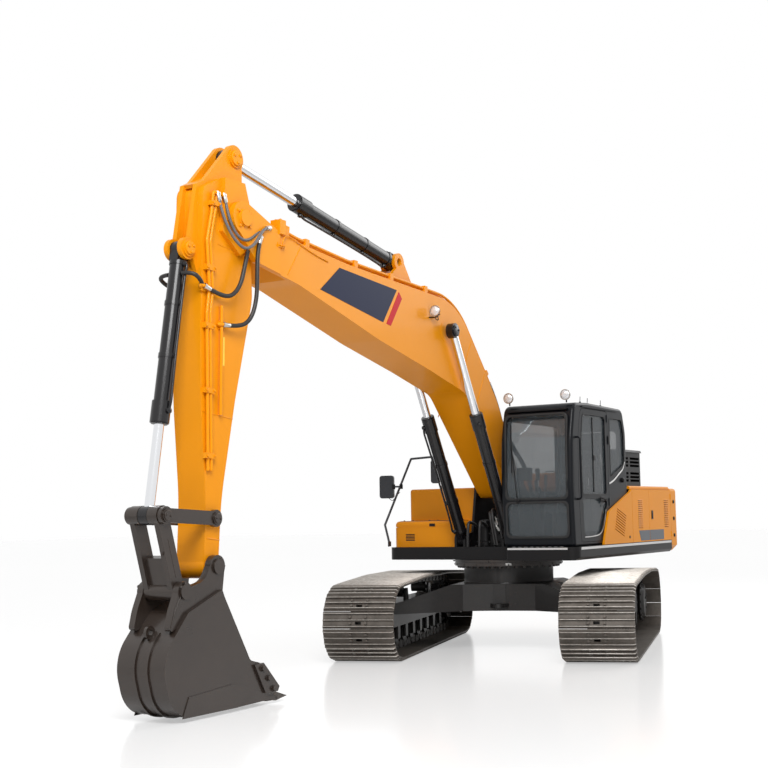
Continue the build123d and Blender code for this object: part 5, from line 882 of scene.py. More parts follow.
# ---- Hoses from boom to arm ------------------------------------------------------------
# Two grey hoses feed the arm's pipes, and three thicker black ones end at ports on the arm's
# sides. All are rubber over steel wire, with plated ferrules, and hang in loose bends so
# that the arm can swing.
nose_ends, arm_ends = [], []
FEED_HOSES = [
    [
        at(5.07, 0.215, 4.215), at(5.16, 0.232, 4.173), at(5.252, 0.245, 4.11),
        at(5.345, 0.251, 4.046), at(5.438, 0.249, 4.021), at(5.516, 0.239, 4.061),
        at(5.569, 0.222, 4.152), at(5.596, 0.202, 4.267),
    ],
    [
        at(5.07, 0.25, 4.2), at(5.16, 0.27, 4.18), at(5.25, 0.284, 4.09),
        at(5.34, 0.286, 3.985), at(5.455, 0.28, 3.935), at(5.565, 0.262, 4),
        at(5.64, 0.235, 4.12), at(5.68, 0.205, 4.26),
    ],
]
for n, (bends, end) in enumerate(zip(FEED_HOSES, elbow_ends), 1):
    free_hose("arm_feed_hose_%d" % n, [*bends, end], 0.027, grey_rubber)
    nose_ends.append((bends[0], bends[1] - bends[0]))
    arm_ends.append((end, bends[-1] - end))
LONG_HOSES = {
    "left": [
        at(5.24, 0.205, 4.09), at(5.324, 0.22, 3.985), at(5.392, 0.231, 3.803),
        at(5.452, 0.231, 3.62), at(5.564, 0.218, 3.505), at(5.714, 0.201, 3.51),
        at(5.86, 0.185, 3.56),
    ],
    "low_left": [
        at(5.2, 0.255, 4.08), at(5.253, 0.265, 3.962), at(5.267, 0.269, 3.77),
        at(5.265, 0.264, 3.534), at(5.325, 0.248, 3.337), at(5.458, 0.222, 3.256),
        at(5.62, 0.19, 3.26),
    ],
    "right": [
        at(5.24, -0.205, 4.09), at(5.324, -0.22, 3.985), at(5.392, -0.231, 3.803),
        at(5.452, -0.231, 3.62), at(5.564, -0.218, 3.505), at(5.714, -0.201, 3.51),
        at(5.86, -0.185, 3.56),
    ],
}
for label, bends in LONG_HOSES.items():
    free_hose("bucket_hose_" + label, bends, 0.038, rubber)
    nose_ends.append((bends[0], bends[1] - bends[0]))
    arm_ends.append((bends[-1], bends[-2] - bends[-1]))
ferrules("boom_nose_ferrules", "boom", nose_ends, 0.018)
ferrules("arm_ferrules", "arm", arm_ends, 0.018)

nose_clamps = Shape()
for sense, left_reach in ((-1, 0.045), (1, 0.065)):
    base = beside(FOOT, TIP, 0.912, 0.033, sense * 0.2)
    nose_clamps.box(base - Vector((0.05, 0.045, 0.02)), base + Vector((0.04, left_reach, 0.115)))
    nose_clamps.box(base + Vector((0.04, -0.03, 0.01)), base + Vector((0.12, 0.03, 0.05)))
    for step in (-0.02, 0.035):
        nose_clamps.bolt(base + Vector((-0.005, step, 0.115)), (0, 0, 1), 0.02, 0.014)
nose_clamps.done("boom_nose_clamps", "boom", yellow, 0.004)

# ports on the arm's sides: a steel block and a bent stub where each long hose ends
ports = Shape()
for label, bends in LONG_HOSES.items():
    sense = -1 if label == "right" else 1
    end = bends[-1]
    wall = Vector((end.x, sense * (ARM_HALF - 0.004), end.z))
    ports.box(wall + Vector((-0.035, 0, -0.035)), wall + Vector((0.035, sense * 0.024, 0.035)))
    ports.hose(spline([
        end, end + (end - bends[-2]).normalized() * 0.05,
        wall + Vector((0.06, sense * 0.02, 0)), wall + Vector((0.02, sense * 0.02, 0)),
    ]), 0.016, 12)
ports.done("arm_ports", "arm", yellow, 0.002)

# ---- Cylinders -------------------------------------------------------------------------
# Double-acting cylinders: drawn steel tubes with a bolted head, sprayed black, and chromed
# rods whose forged eyes are sprayed too. A thin steel pipe feeds each head end.
cylinder_black = paint("cylinder_black", (0.007, 0.0065, 0.0075), 0.02, 0.22, 0.3, (0.07, 0.06, 0.05), 0.3)
chrome = Finish("chrome_rod", (0.78, 0.79, 0.81), 0.1, 1.0)
smear = chrome.noise(6.0, 4.0, 0.6, (1, 1, 0.2))
chrome.feed(Roughness=(0.05 + smear * 0.14).clip())
PORT_BOSS = [(0, 0.026), (0.026, 0.026), (0.03, 0.018), (0.034, 0.012)]


def cylinder_finish(label, body, foot, eye, lean, head, tube, length, eye_radius, rod):
    """Coats one cylinder and fits its head bolts, bands and feed pipe.

    Radii are those of the head, the tube, the rod's eye and the rod. The pipe runs on the
    side that lean gives: a share over the cylinder and a share to the left.
    """
    way = (eye - foot).normalized()
    over = Vector((-way.z, 0, way.x))
    cylinder_black.coat(dress(nodes[label + "_tube"], 0.003, 30))
    shaft = dress(nodes[label + "_rod"], 0.0, 30)
    chrome.coat(shaft)
    # the eye is sprayed, the shaft isn't
    shaft.data.materials.append(cylinder_black.material)
    for face in shaft.data.polygons:
        reach = face.center - eye
        if reach.length < eye_radius + 0.03 and abs(reach.dot(way)) < eye_radius + 0.002:
            face.material_index = 1
    gear = Shape()
    seat = foot + way * length
    gear.turned(seat - way * 0.014, way, [
        (0, rod + 0.028), (0.012, rod + 0.028), (0.015, rod + 0.02),
        (0.017, rod + 0.006), (0.017, rod + 0.001),
    ], 36)
    for k in range(8):
        turn = 2 * pi * k / 8 + 0.3
        reach = over * cos(turn) + Vector((0, 1, 0)) * sin(turn)
        gear.bolt(seat - way * 0.01 + reach * (head - 0.016), way, 0.018, 0.008)
    # bands round the tube and the pipe they hold
    side = (over * lean[0] + Vector((0, lean[1], 0))).normalized()
    for run in (0.32, 0.62):
        centre = foot + way * (length * run)
        gear.turned(centre - way * 0.02, way, [(0, tube + 0.006), (0.04, tube + 0.006)], 36)
        gear.rod(centre + side * (tube - 0.01), centre + side * (tube + 0.02), 0.02, 12)
    low, high = foot + way * (eye_radius + 0.06), foot + way * (length - 0.11)
    gear.hose(spline([
        low + side * tube, low + side * (tube + 0.04), low + side * (tube + 0.022) + way * 0.09,
        foot + way * (length * 0.5) + side * (tube + 0.02), high + side * (head + 0.016) - way * 0.2,
        high + side * (head + 0.022) - way * 0.03, high + side * (head - 0.004),
    ]), 0.0115, 12)
    gear.turned(high + side * (head - 0.008), side, PORT_BOSS, 16)
    gear.turned(low + side * (tube - 0.006), side, PORT_BOSS, 16)
    gear.done(label + "_gear", body, cylinder_black, 0.0015)


BOOM_CYLINDER_Y = 0.318
for side, sense in (("left", 1), ("right", -1)):
    foot = at(0.56, sense * BOOM_CYLINDER_Y, 1.302)
    eye = at(1.85, sense * BOOM_CYLINDER_Y, 3.63)
    cylinder_finish(
        "boom_cylinder_" + side, "boom_tube_" + side, foot, eye, (-0.8, sense * 0.6),
        head=0.078, tube=0.07, length=1.64, eye_radius=0.084, rod=0.045,
    )
    cap = Shape()
    cap.turned(eye + Vector((0, sense * 0.04, 0)), (0, sense, 0), [
        (0, 0.066), (0.012, 0.066), (0.016, 0.06), (0.016, 0.01),
    ], 32)
    outer = eye + Vector((0, sense * 0.056, 0))
    cap.side_bolts(outer, sense, 0.042, [0.9 + third for third in THIRDS], 0.018, 0.01)
    cap.done("boom_cylinder_%s_cap" % side, "boom_rod_" + side, cylinder_black, 0.001)
cylinder_finish(
    "arm_cylinder", "arm_tube", at(2.59, 0, 4.31), ARM_TAIL, (-1, 0),
    head=0.09, tube=0.076, length=1.78, eye_radius=0.09, rod=0.05,
)
BUCKET_ROD_PIN = at(6.345, 0, 1.642)
cylinder_finish(
    "bucket_cylinder", "bucket_tube", BUCKET_CYLINDER_FOOT, BUCKET_ROD_PIN, (0, 1),
    head=0.08, tube=0.068, length=1.515, eye_radius=0.078, rod=0.042,
)
# short hoses from the arm to the bucket's cylinder
for side, sense in (("right", -1), ("left", 1)):
    path = spline([
        at(5.87, sense * 0.16, 3.57), at(5.93, sense * 0.2, 3.6), at(6.03, sense * 0.19, 3.66),
        at(6.03, sense * 0.075, 3.66),
    ])
    piece = Shape().hose(path, 0.018, 12).done("bucket_cylinder_hose_" + side, None, rubber)
    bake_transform(piece)

# ---- Links and bucket ------------------------------------------------------------------
# Cast links and a welded bucket of wear-resistant plate, sprayed dark bronze brown and
# glossy when new. The bolt-on cutters, teeth and keeper plates wear bare first.
bucket_brown = Finish(
    "bucket_brown", (0.03, 0.022, 0.017), 0.22, 0.2, Coat_Weight=0.3, Coat_Roughness=0.06
)
streaks = bucket_brown.noise(2.2, 5.0, 0.6)
grit = bucket_brown.noise(60.0, 4.0, 0.6)
bucket_brown.feed(
    Base_Color=bucket_brown.mix(streaks, (0.02, 0.014, 0.011), (0.044, 0.031, 0.024)),
    Roughness=(0.2 + streaks * 0.14 + grit * 0.08).clip(),
)
bucket_brown.bump(grit, 0.0006, 0.25)
for part in ("bucket", "bucket_link", "idler_links", "bucket_pin", "bucket_link_pin"):
    bucket_brown.coat(dress(nodes[part], 0.004, 30))
LINK_PIN = joint_at["bucket_link_pivot"]
BUCKET_REACH = 1.475
EAR_OUTER = 0.219
TOOTH_YS = (-0.205, 0.0, 0.205)


def on_bucket(share, angle, y):
    """Point at a share of the bucket's reach from its pin, at an angle round the pin."""
    turn = radians(angle)
    return BUCKET_PIN + Vector((
        BUCKET_REACH * share * cos(turn), y, BUCKET_REACH * share * sin(turn)
    ))


bucket_trim = Shape()
for sense in (-1, 1):
    # cutter bolts, then the weld along the foot of the ear plate
    for share, angle in ((0.70, 239.6), (0.78, 238.4), (0.86, 238.0)):
        bucket_trim.bolt(on_bucket(share, angle, sense * 0.272), (0, sense, 0), 0.042, 0.026)
    ear_foot = [(0.20, 333.0), (0.30, 337.0), (0.40, 331.0), (0.50, 321.0)]
    bucket_trim.hose(spline([on_bucket(*spot, sense * EAR_OUTER) for spot in ear_foot]), 0.006, 8)
    # cap over each pin's end, and the two bolts of its keeper beside it
    for pin, lean in ((BUCKET_PIN, Vector((-0.9, 0, 0.43))), (LINK_PIN, Vector((0.5, 0, 0.86)))):
        face = pin + Vector((0, sense * (EAR_OUTER + 0.002), 0))
        bucket_trim.turned(face, (0, sense, 0), [
            (0, 0.047), (0.012, 0.047), (0.015, 0.042), (0.015, 0.0),
        ], 28)
        keeper = pin + Vector((0, sense * EAR_OUTER, 0)) + lean * 0.062
        for step in (-0.028, 0.028):
            seat = keeper + Vector((lean.z, 0, -lean.x)) * step
            bucket_trim.bolt(seat, (0, sense, 0), 0.024, 0.016)
# pins that hold the tooth points on their adapters
for tooth_y in TOOTH_YS:
    bucket_trim.rod(on_bucket(0.945, 237, tooth_y - 0.044), on_bucket(0.945, 237, tooth_y + 0.044), 0.013, 14)
bucket_trim.done("bucket_trim", "bucket", bucket_brown, 0.001)

tooth_steel = Finish("tooth_steel", (0.09, 0.08, 0.072), 0.36, 0.75)
tooth_worn = tooth_steel.noise(30.0, 4.0, 0.65)
tooth_steel.feed(
    Base_Color=tooth_steel.mix(tooth_worn, (0.04, 0.035, 0.032), (0.17, 0.15, 0.135)),
    Roughness=(0.28 + tooth_worn * 0.25).clip(),
)
points = Shape()
TOOTH_POINT = [(0.905, 236.35), (0.9985, 232.25), (1.0, 232.33), (0.952, 238.05), (0.918, 240.4)]
TOOTH_HALF = 0.0395
for tooth_y in TOOTH_YS:
    points.block([on_bucket(*corner, tooth_y - TOOTH_HALF) for corner in TOOTH_POINT], (0, 2 * TOOTH_HALF, 0))
points.done("tooth_points", "bucket", tooth_steel, 0.004)

link_trim = Shape()
for pin in (joint_at["idler_link_pivot"], BUCKET_ROD_PIN):
    for sense in (-1, 1):
        face = pin + Vector((0, sense * 0.205, 0))
        link_trim.turned(face, (0, sense, 0), [
            (0, 0.043), (0.008, 0.043), (0.011, 0.039), (0.011, 0.008),
        ], 28)
        link_trim.side_bolts(face + Vector((0, sense * 0.01, 0)), sense, 0.026, (0.2, 0.2 + pi), 0.017, 0.01)
link_trim.done("idler_link_trim", "idler_links", bucket_brown, 0.001)
# grease nipple on the bucket's link, and the seams along its sides
shank = (BUCKET_ROD_PIN - LINK_PIN).normalized()
nipple = Shape()
nipple.turned(LINK_PIN + shank * 0.3 + Vector((0.045, 0.13, 0.01)), (1, 0, 0.3), [
    (0, 0.016), (0.02, 0.016), (0.021, 0.01), (0.04, 0.01), (0.041, 0.006), (0.052, 0.006),
], 12)
for across in (-0.15407, 0.15407):
    ridge = Vector((0, across, 0))
    nipple.rod(LINK_PIN + shank * 0.12 + ridge, BUCKET_ROD_PIN - shank * 0.2 + ridge, 0.004, 8)
nipple.done("bucket_link_trim", "bucket_link", bucket_brown)

# ---- Counterweight ---------------------------------------------------------------------
# One heavy iron casting at the back, filled and sprayed yellow, hung on the swing frame by
# bolts from below. Two lifting eyes stand on its top, sunk in by half.
yellow.coat(dress(nodes["counterweight"], 0.006, 30))
weight_low, weight_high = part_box("counterweight")
red_glass = Finish("rear_reflector", (0.5, 0.01, 0.012), 0.12, 0.0, Coat_Weight=1.0)
cells = red_glass.noise(240.0, 1.0, 0.5)
red_glass.bump(cells, 0.001, 0.6)
weight_trim = Shape()
for sense in (-1, 1):
    for rise in (0.2, 0.42, 0.64):
        seat = (weight_high.x - 0.1, sense * weight_high.y, weight_low.z + rise)
        weight_trim.bolt(seat, (0, sense, 0), 0.036, 0.012)
weight_trim.box((weight_low.x, -0.28, weight_low.z + 0.3), (weight_low.x + 0.05, 0.28, weight_low.z + 0.33))
weight_trim.done("counterweight_trim", "house", frame_black, 0.002)
# radius of the curved back, from its half width and its depth
WEIGHT_DEPTH = weight_high.x - 0.247 - weight_low.x
WEIGHT_BOW = (weight_high.y ** 2 + WEIGHT_DEPTH ** 2) / (2 * WEIGHT_DEPTH)
for label, sense in (("left", 1), ("right", -1)):
    reflector = Shape()
    for spread in (0.84, 0.87, 0.9):
        across = sense * weight_high.y * spread
        back = weight_low.x + WEIGHT_BOW - (WEIGHT_BOW ** 2 - across ** 2) ** 0.5
        reflector.box(
            (back - 0.004, across - 0.022, weight_low.z + 0.42),
            (back + 0.02, across + 0.022, weight_low.z + 0.52),
        )
    reflector.done("rear_reflector_" + label, "house", red_glass, 0.002)

# ---- House walls, doors and covers -----------------------------------------------------
# Pressed sheet steel over a welded frame, sprayed yellow outside, with louvres punched in
# it. Each door has barrel hinges and a flush lock. Matte black sheets behind the louvres
# are painted shade for the dark space behind them.
for part, edge, angle in (("house", 0.003, 35), ("air_intake", 0.004, 35), ("exhaust", 0.003, 40)):
    frame_black.coat(dress(nodes[part], edge, angle))
iron = paint("engine_iron", (0.05, 0.05, 0.052), 0.1, 0.6, 0.0)
iron.coat(nodes["engine"])
for part in ("side_door_front", "side_panel_left", "side_door_rear", "pump_door", "side_panel_right",
             "top_cover", "engine_hood", "fuel_tank", "tool_box"):
    yellow.coat(dress(nodes[part], 0.022 if part in ("fuel_tank", "tool_box") else 0.003, 30, 4))
# matte black, painted shade behind the louvres
louvre_shade_black = Finish("louvre_shade_black", (0.006, 0.006, 0.006), 0.8)
PANEL_INNER = 1.301
PANEL_OUTER = 1.33


def louvre_shade_sheet(label, body, sense, middle, half, low_z, high_z):
    """Black sheet behind one field of louvres, painted shade for the dark space behind them, given by its
    middle, half width and heights.
    """
    corners = ((-half, low_z), (half, low_z), (half, high_z), (-half, high_z))
    sheet = Shape()
    sheet.block([at(middle + x, sense * PANEL_INNER, z) for x, z in corners], (0, -sense * 0.004, 0))
    sheet.done("baffle_" + label, body, louvre_shade_black)


# across a louvre's lip: way out past the panel, height over the slot's middle
LIP = ((-0.003, 0.0085), (0.0051, 0.0015), (0.006, 0.0025), (0.0, 0.0115))
LIP_HALF = 0.077
for label, body, sense, middle in (
    ("side_panel_left", "house", 1, -1.055), ("side_door_rear", "side_door_rear", 1, -1.975),
    ("pump_door", "pump_door", -1, -1.08), ("side_panel_right", "house", -1, -1.82),
):
    louvre_shade_sheet(label, body, sense, middle, 0.085, 1.37, 1.755)
    lips = Shape()
    for n in range(-7, 8):
        rise = 1.562 + n * 0.024
        lips.skin([
            [at(middle + half, sense * (PANEL_OUTER + out), rise + up) for out, up in LIP]
            for half in (-LIP_HALF, LIP_HALF)
        ])
    lips.done("louvres_" + label, body, yellow)
# the front door's louvres rise towards the front
louvre_shade_sheet("side_door_front", "side_door_front", 1, -0.395, 0.185, 1.33, 1.61)
LEAN = radians(18)
LEANING_LIP = ((-0.003, 0.006), (0.005, 0.0), (0.006, 0.001), (0.0, 0.01))
lips = Shape()
along = Vector((cos(LEAN), 0, sin(LEAN))) * 0.152
upwards = Vector((-sin(LEAN), 0, cos(LEAN)))
for n in range(-4, 5):
    middle = at(-0.395 - n * 0.01, PANEL_OUTER, 1.47 + n * 0.03)
    lips.skin([
        [middle + along * end + upwards * up + Vector((0, out, 0)) for out, up in LEANING_LIP]
        for end in (-1, 1)
    ])
lips.done("louvres_side_door_front", "side_door_front", yellow)

for door, sense, x, z in (
    ("side_door_front", 1, -0.673, 1.288), ("side_door_rear", 1, -1.46, 1.55), ("pump_door", -1, -0.83, 1.55),
):
    lock = Shape()
    spot = at(x, sense * PANEL_OUTER, z)
    if door == "side_door_front":
        lock.turned(spot, (0, sense, 0), [
            (-0.002, 0.017), (0.004, 0.017), (0.006, 0.013), (0.006, 0.002),
        ], 24)
    else:
        lock.box(spot - Vector((0.03, 0.001, 0.055)), spot + Vector((0.03, 0.004 * sense, 0.055)))
        lock.box(spot - Vector((0.016, 0.0, 0.04)), spot + Vector((0.016, 0.009 * sense, 0.028)))
    lock.done("lock_" + door, door, frame_black, 0.0015)

# blank dark plate low on the left side, cut on a slant in front and parted by the door's gap
navy_plate = Finish("sign_plate_dark", (0.035, 0.045, 0.06), 0.3, 0.0, Coat_Weight=0.2)
for label, body, corners in (
    ("middle", "house", [(-1.045, 1.232), (-0.985, 1.36), (-1.353, 1.36), (-1.353, 1.232)]),
    ("rear", "side_door_rear", [(-1.363, 1.232), (-1.363, 1.36), (-1.86, 1.36), (-1.86, 1.232)]),
):
    sheet = Shape()
    sheet.block([at(x, PANEL_OUTER + 0.0005, z) for x, z in corners], (0, 0.0015, 0))
    sheet.done("side_plate_" + label, body, navy_plate)

# two hoop handles on the hood, and its lock behind
hood_low, hood_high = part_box("engine_hood")
handle_x = hood_low.x + 0.13
hood_trim = Shape()
for middle_y in (-0.31, 0.35):
    near_y, far_y = middle_y - 0.09, middle_y + 0.09
    hood_trim.hose(spline([
        (handle_x, near_y, hood_high.z - 0.004), (handle_x, near_y, hood_high.z + 0.045),
        (handle_x, far_y, hood_high.z + 0.045), (handle_x, far_y, hood_high.z - 0.004),
    ]), 0.008, 10)
hood_trim.box((hood_low.x - 0.004, -0.03, hood_low.z + 0.05), (hood_low.x + 0.02, 0.08, hood_low.z + 0.13))
hood_trim.done("engine_hood_trim", "engine_hood", frame_black, 0.002)

# anti-slip plates on the top cover, held by small bolts
tread_grey = Finish("tread_plate", (0.05, 0.05, 0.052), 0.6, 0.6)
studs = tread_grey.noise(90.0, 1.0, 0.4)
tread_grey.bump(studs, 0.003, 0.7)
cover_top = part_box("top_cover")[1].z
TREAD_THICK = 0.005
TREAD_FRONT = -0.78
for label, low_x, low_y, high_y in (("right", -1.05, -1.25, -0.4), ("left", -0.94, 0.5, 1.2)):
    tread = Shape()
    tread.box(at(low_x, low_y, cover_top), at(TREAD_FRONT, high_y, cover_top + TREAD_THICK))
    for x in (low_x + 0.03, TREAD_FRONT - 0.03):
        for y in (low_y + 0.04, (low_y + high_y) / 2, high_y - 0.04):
            tread.bolt(at(x, y, cover_top + TREAD_THICK), (0, 0, 1), 0.02, 0.01)
    tread.done("cover_tread_" + label, "house", tread_grey, 0.001)

# ---- Fuel tank, tool box and mirrors ---------------------------------------------------
# Welded steel tank and box on the right, sprayed yellow. The box has a lock and a small
# dark vent in front. Two mirrors in plastic cases stand on a bent steel tube.
box_low, box_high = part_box("tool_box")
tank_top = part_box("fuel_tank")[1].z
dark_trim = Shape()
# filler cap, the vent's five slats and the box's lock
filler = at(-0.3, -1.05, tank_top - 0.05)
dark_trim.turned(filler, (0, 0, 1), [(-0.004, 0.064), (0.046, 0.064), (0.049, 0.055), (0.049, 0.012)], 32)
for n in range(5):
    rise = 1.29 + n * 0.018
    dark_trim.box((box_high.x - 0.004, -1.16, rise), (box_high.x + 0.003, -1.03, rise + 0.012))
dark_trim.box((box_high.x - 0.004, -0.82, 1.465), (box_high.x + 0.005, -0.74, 1.5))
dark_trim.done("tank_trim", "house", frame_black, 0.001)
vent_frame = Shape()
vent_frame.box((box_high.x - 0.002, -1.19, 1.27), (box_high.x + 0.002, -1.0, 1.395))
vent_frame.done("tank_panels", "house", yellow, 0.001)
step_grip = Shape()
step_grip.box((box_low.x + 0.04, -1.28, box_high.z), (box_high.x - 0.07, -0.47, box_high.z + 0.004))
for x in (box_low.x + 0.07, box_high.x - 0.1):
    for y in (-1.24, -0.875, -0.51):
        step_grip.bolt((x, y, box_high.z + 0.004), (0, 0, 1), 0.018, 0.008)
step_grip.done("tool_box_tread", "house", tread_grey, 0.001)

mirror_case = paint("mirror_case", (0.018, 0.02, 0.026), 0.02, 0.35, 0.2, (0.06, 0.06, 0.06), 0.4)
mirror_case.coat(dress(nodes["mirrors_right"], 0.006, 35))
silvered = Finish("mirror_glass", (0.8, 0.82, 0.84), 0.02, 1.0)
MIRROR_RIM = 0.014
# power that bends the glass's outline from an oval (1) towards a square (0)
SQUARED = 0.35
for label, centre, angle, width, height in (
    ("outer", at(0.225, -1.6, 1.97), 12, 0.19, 0.29), ("inner", at(0.082, -0.96, 2.15), 8, 0.12, 0.3),
):
    facing = Vector((-cos(radians(angle)), -sin(radians(angle)), 0))
    across = Vector((-facing.y, facing.x, 0)) * (width / 2 - MIRROR_RIM)
    upwards = Vector((0, 0, height / 2 - MIRROR_RIM))
    outline = []
    for k in range(24):
        turn = 2 * pi * (k + 0.5) / 24
        out = copysign(abs(cos(turn)) ** SQUARED, cos(turn))
        up = copysign(abs(sin(turn)) ** SQUARED, sin(turn))
        outline.append(centre + facing * 0.0195 + across * out + upwards * up)
    glass = Shape()
    glass.block(outline, facing * 0.003)
    glass.done("mirror_glass_" + label, "house", silvered)
# the outer mirror's two clamps and cable, then the bolts of the tube's foot
mirror_gear = Shape()
for spot in (at(0.227, -1.5, 1.94), at(0.222, -1.39, 1.94)):
    mirror_gear.turned(spot, (0, 0, 1), [(0, 0.022), (0.06, 0.022)], 20)
mirror_gear.hose(spline([
    at(0.235, -1.57, 1.83), at(0.26, -1.5, 1.78), at(0.3, -1.44, 1.83), at(0.235, -1.4, 1.9),
]), 0.004, 8)
for rise in (1.236, 1.28):
    mirror_gear.bolt(at(0.626, -1.33, rise), (0, -1, 0), 0.02, 0.012)
mirror_gear.done("mirror_gear", "house", frame_black, 0.001)

# ---- Driver's place --------------------------------------------------------------------
# Sprung seat with foam cushions in dark cloth between two consoles of moulded plastic.
# Each console carries a lever; two travel levers with their pedals stand on the floor.
seat_cloth = Finish("seat_cloth", (0.05, 0.05, 0.055), 0.9, 0.0, Sheen_Weight=0.3)
threads = seat_cloth.noise(300.0, 2.0, 0.6)
seat_cloth.feed(Base_Color=seat_cloth.mix(threads, (0.032, 0.032, 0.036), (0.07, 0.07, 0.076)))
seat_cloth.bump(threads, 0.0015, 0.5)
seat_cloth.coat(dress(nodes["seat"], 0.025, 30, 4))
plastic = Finish("dark_plastic", (0.022, 0.022, 0.024), 0.5)
grain = plastic.noise(220.0, 2.0, 0.6)
plastic.feed(Roughness=(0.42 + grain * 0.2).clip()).bump(grain, 0.0004, 0.4)
plastic.coat(dress(nodes["consoles"], 0.01, 30, 3))
CAB_Y = 0.851
LEVER_OUT = 0.325
inside = Shape()
for sense in (-1, 1):
    # lever's boot and grip
    lever = at(0.19, CAB_Y + sense * LEVER_OUT, 1.835)
    inside.turned(lever, (0.05, 0, 1), [
        (0, 0.04), (0.02, 0.034), (0.035, 0.036), (0.05, 0.028), (0.065, 0.03), (0.08, 0.016),
    ], 20)
    inside.turned(lever + Vector((0.008, 0, 0.155)), (0.12, 0, 1), [
        (0, 0.02), (0.03, 0.027), (0.09, 0.025), (0.12, 0.03), (0.14, 0.024), (0.15, 0.008),
    ], 20)
    # travel lever, its grip and its pedal
    inside.hose(spline([
        at(0.62, CAB_Y + sense * 0.075, 1.3), at(0.56, CAB_Y + sense * 0.08, 1.6),
        at(0.5, CAB_Y + sense * 0.09, 1.86), at(0.46, CAB_Y + sense * 0.1, 1.95),
    ]), 0.011, 12)
    inside.hose(spline([
        at(0.47, CAB_Y + sense * 0.1, 1.93), at(0.44, CAB_Y + sense * 0.11, 1.99),
        at(0.42, CAB_Y + sense * 0.12, 2.04),
    ]), 0.019, 12)
    pedal_y = CAB_Y + sense * 0.1
    inside.box(at(0.5, pedal_y - 0.045, 1.31), at(0.74, pedal_y + 0.045, 1.33))
# display and its post in the right front corner, then the locker behind the seat
inside.box(at(0.62, 0.475, 1.98), at(0.66, 0.66, 2.13))
inside.rod(at(0.67, 0.5, 1.4), at(0.65, 0.5, 2.0), 0.014, 12)
inside.box(at(-0.62, 0.48, 1.27), at(-0.42, 1.22, 1.86))
inside.done("cab_controls", "house", plastic, 0.006)
screen_glass = Finish("screen_glass", (0.02, 0.025, 0.03), 0.08, 0.0, Coat_Weight=0.6)
screen = Shape()
screen.box(at(0.617, 0.49, 1.995), at(0.62, 0.645, 2.115))
screen.done("display_glass", "house", screen_glass)
# the levers' stems, and a grab rail beside the seat's back
stems = Shape()
for lever_y in (CAB_Y - LEVER_OUT, CAB_Y + LEVER_OUT):
    stems.rod(at(0.205, lever_y, 1.9), at(0.2, lever_y, 2.0), 0.009, 12)
stems.hose(spline([
    at(-0.3, 1.09, 1.62), at(-0.28, 1.15, 1.8), at(-0.33, 1.15, 2.1), at(-0.36, 1.1, 2.3),
]), 0.008, 10)
stems.done("cab_levers_plated", "house", plated)
lining = Shape()
lining.box(at(-0.6, 0.47, 2.79), at(0.62, 1.24, 2.802))
lining.box(at(-0.66, 0.46, 1.27), at(0.82, 1.24, 1.277))
lining.done("cab_lining", "house", seat_cloth)
cloth_seams = Shape()
for seam_y in (CAB_Y - 0.13, CAB_Y + 0.13):
    seam = spline([at(0.17, seam_y, 1.722), at(0, seam_y, 1.722), at(-0.16, seam_y, 1.715)])
    cloth_seams.hose(seam, 0.006, 8)
cloth_seams.done("seat_piping", "house", seat_cloth)

# ---- Cab -------------------------------------------------------------------------------
# Closed cab of pressed and welded steel, sprayed black, on rubber mounts. The tinted panes
# sit in rubber seals; a satin trim strip runs under the rear side window.
cab_black = paint("cab_black", (0.004, 0.005, 0.007), 0.02, 0.3, 0.06, (0.05, 0.05, 0.05), 0.15)
cab_black.coat(dress(nodes["cab"], 0.004, 30), dress(nodes["cab_door"], 0.004, 30))
tinted = Finish("tinted_glass", (0.085, 0.1, 0.11), 0.02, 0.0, Alpha=0.42, Specular_IOR_Level=0.6)
tinted.coat(nodes["cab_glass"], nodes["door_glass"])
seal_rubber = Finish("seal_rubber", (0.006, 0.006, 0.006), 0.6)
CAB_SIDE = 1.3


def corner_arc(points, bend, steps=5):
    """A closed outline with each corner rounded off by the same bend."""
    arcs = []
    for before, corner, after in zip(points[-1:] + points[:-1], points, points[1:] + points[:1]):
        start = corner + (before - corner).normalized() * bend
        end = corner + (after - corner).normalized() * bend
        for k in range(steps + 1):
            t = k / steps
            arcs.append(start * (1 - t) ** 2 + corner * 2 * t * (1 - t) + end * t ** 2)
    return arcs


def front_x_at(z):
    """How far forward the cab's slightly bulging front face stands at a height over the ground."""
    return 0.904 + 0.032 * (1 - ((z - 1.95) / 0.95) ** 2)


SEAL_WIDTH = 0.012
# across a windscreen's seal: way out from the pane's edge, height over the cab's front
SEAL_SECTION = (
    (SEAL_WIDTH, -0.032), (SEAL_WIDTH, 0.0), (0.0, 0.004), (-SEAL_WIDTH, 0.0), (-SEAL_WIDTH, -0.032),
)
PANE_RIGHT, PANE_LEFT = 0.465, 1.237
PANE_STEP = 0.06
for label, low_z, high_z in (("lower", 1.325, 1.72), ("upper", 1.76, 2.72)):
    outline = corner_arc([
        Vector((PANE_RIGHT, low_z)), Vector((PANE_LEFT, low_z)),
        Vector((PANE_LEFT, high_z)), Vector((PANE_RIGHT, high_z)),
    ], 0.075, 6)
    # short steps, so that the seal follows the bulge of the front
    dense = []
    for (ya, za), (yb, zb) in zip(outline, outline[1:] + outline[:1]):
        cuts = max(1, round(hypot(yb - ya, zb - za) / PANE_STEP))
        dense += [(ya + (yb - ya) * k / cuts, za + (zb - za) * k / cuts) for k in range(cuts)]
    middle_z = (low_z + high_z) / 2
    rows = []
    for grow, lift in SEAL_SECTION:
        rows.append([
            at(
                front_x_at(z) + lift,
                y + (grow if y > CAB_Y else -grow),
                z + (grow if z > middle_z else -grow),
            )
            for y, z in dense
        ])
    seal = Shape()
    seal.skin(rows, closed=True)
    seal.done("windscreen_seal_" + label, "house", seal_rubber, smooth=50)

cab_gear = Shape()
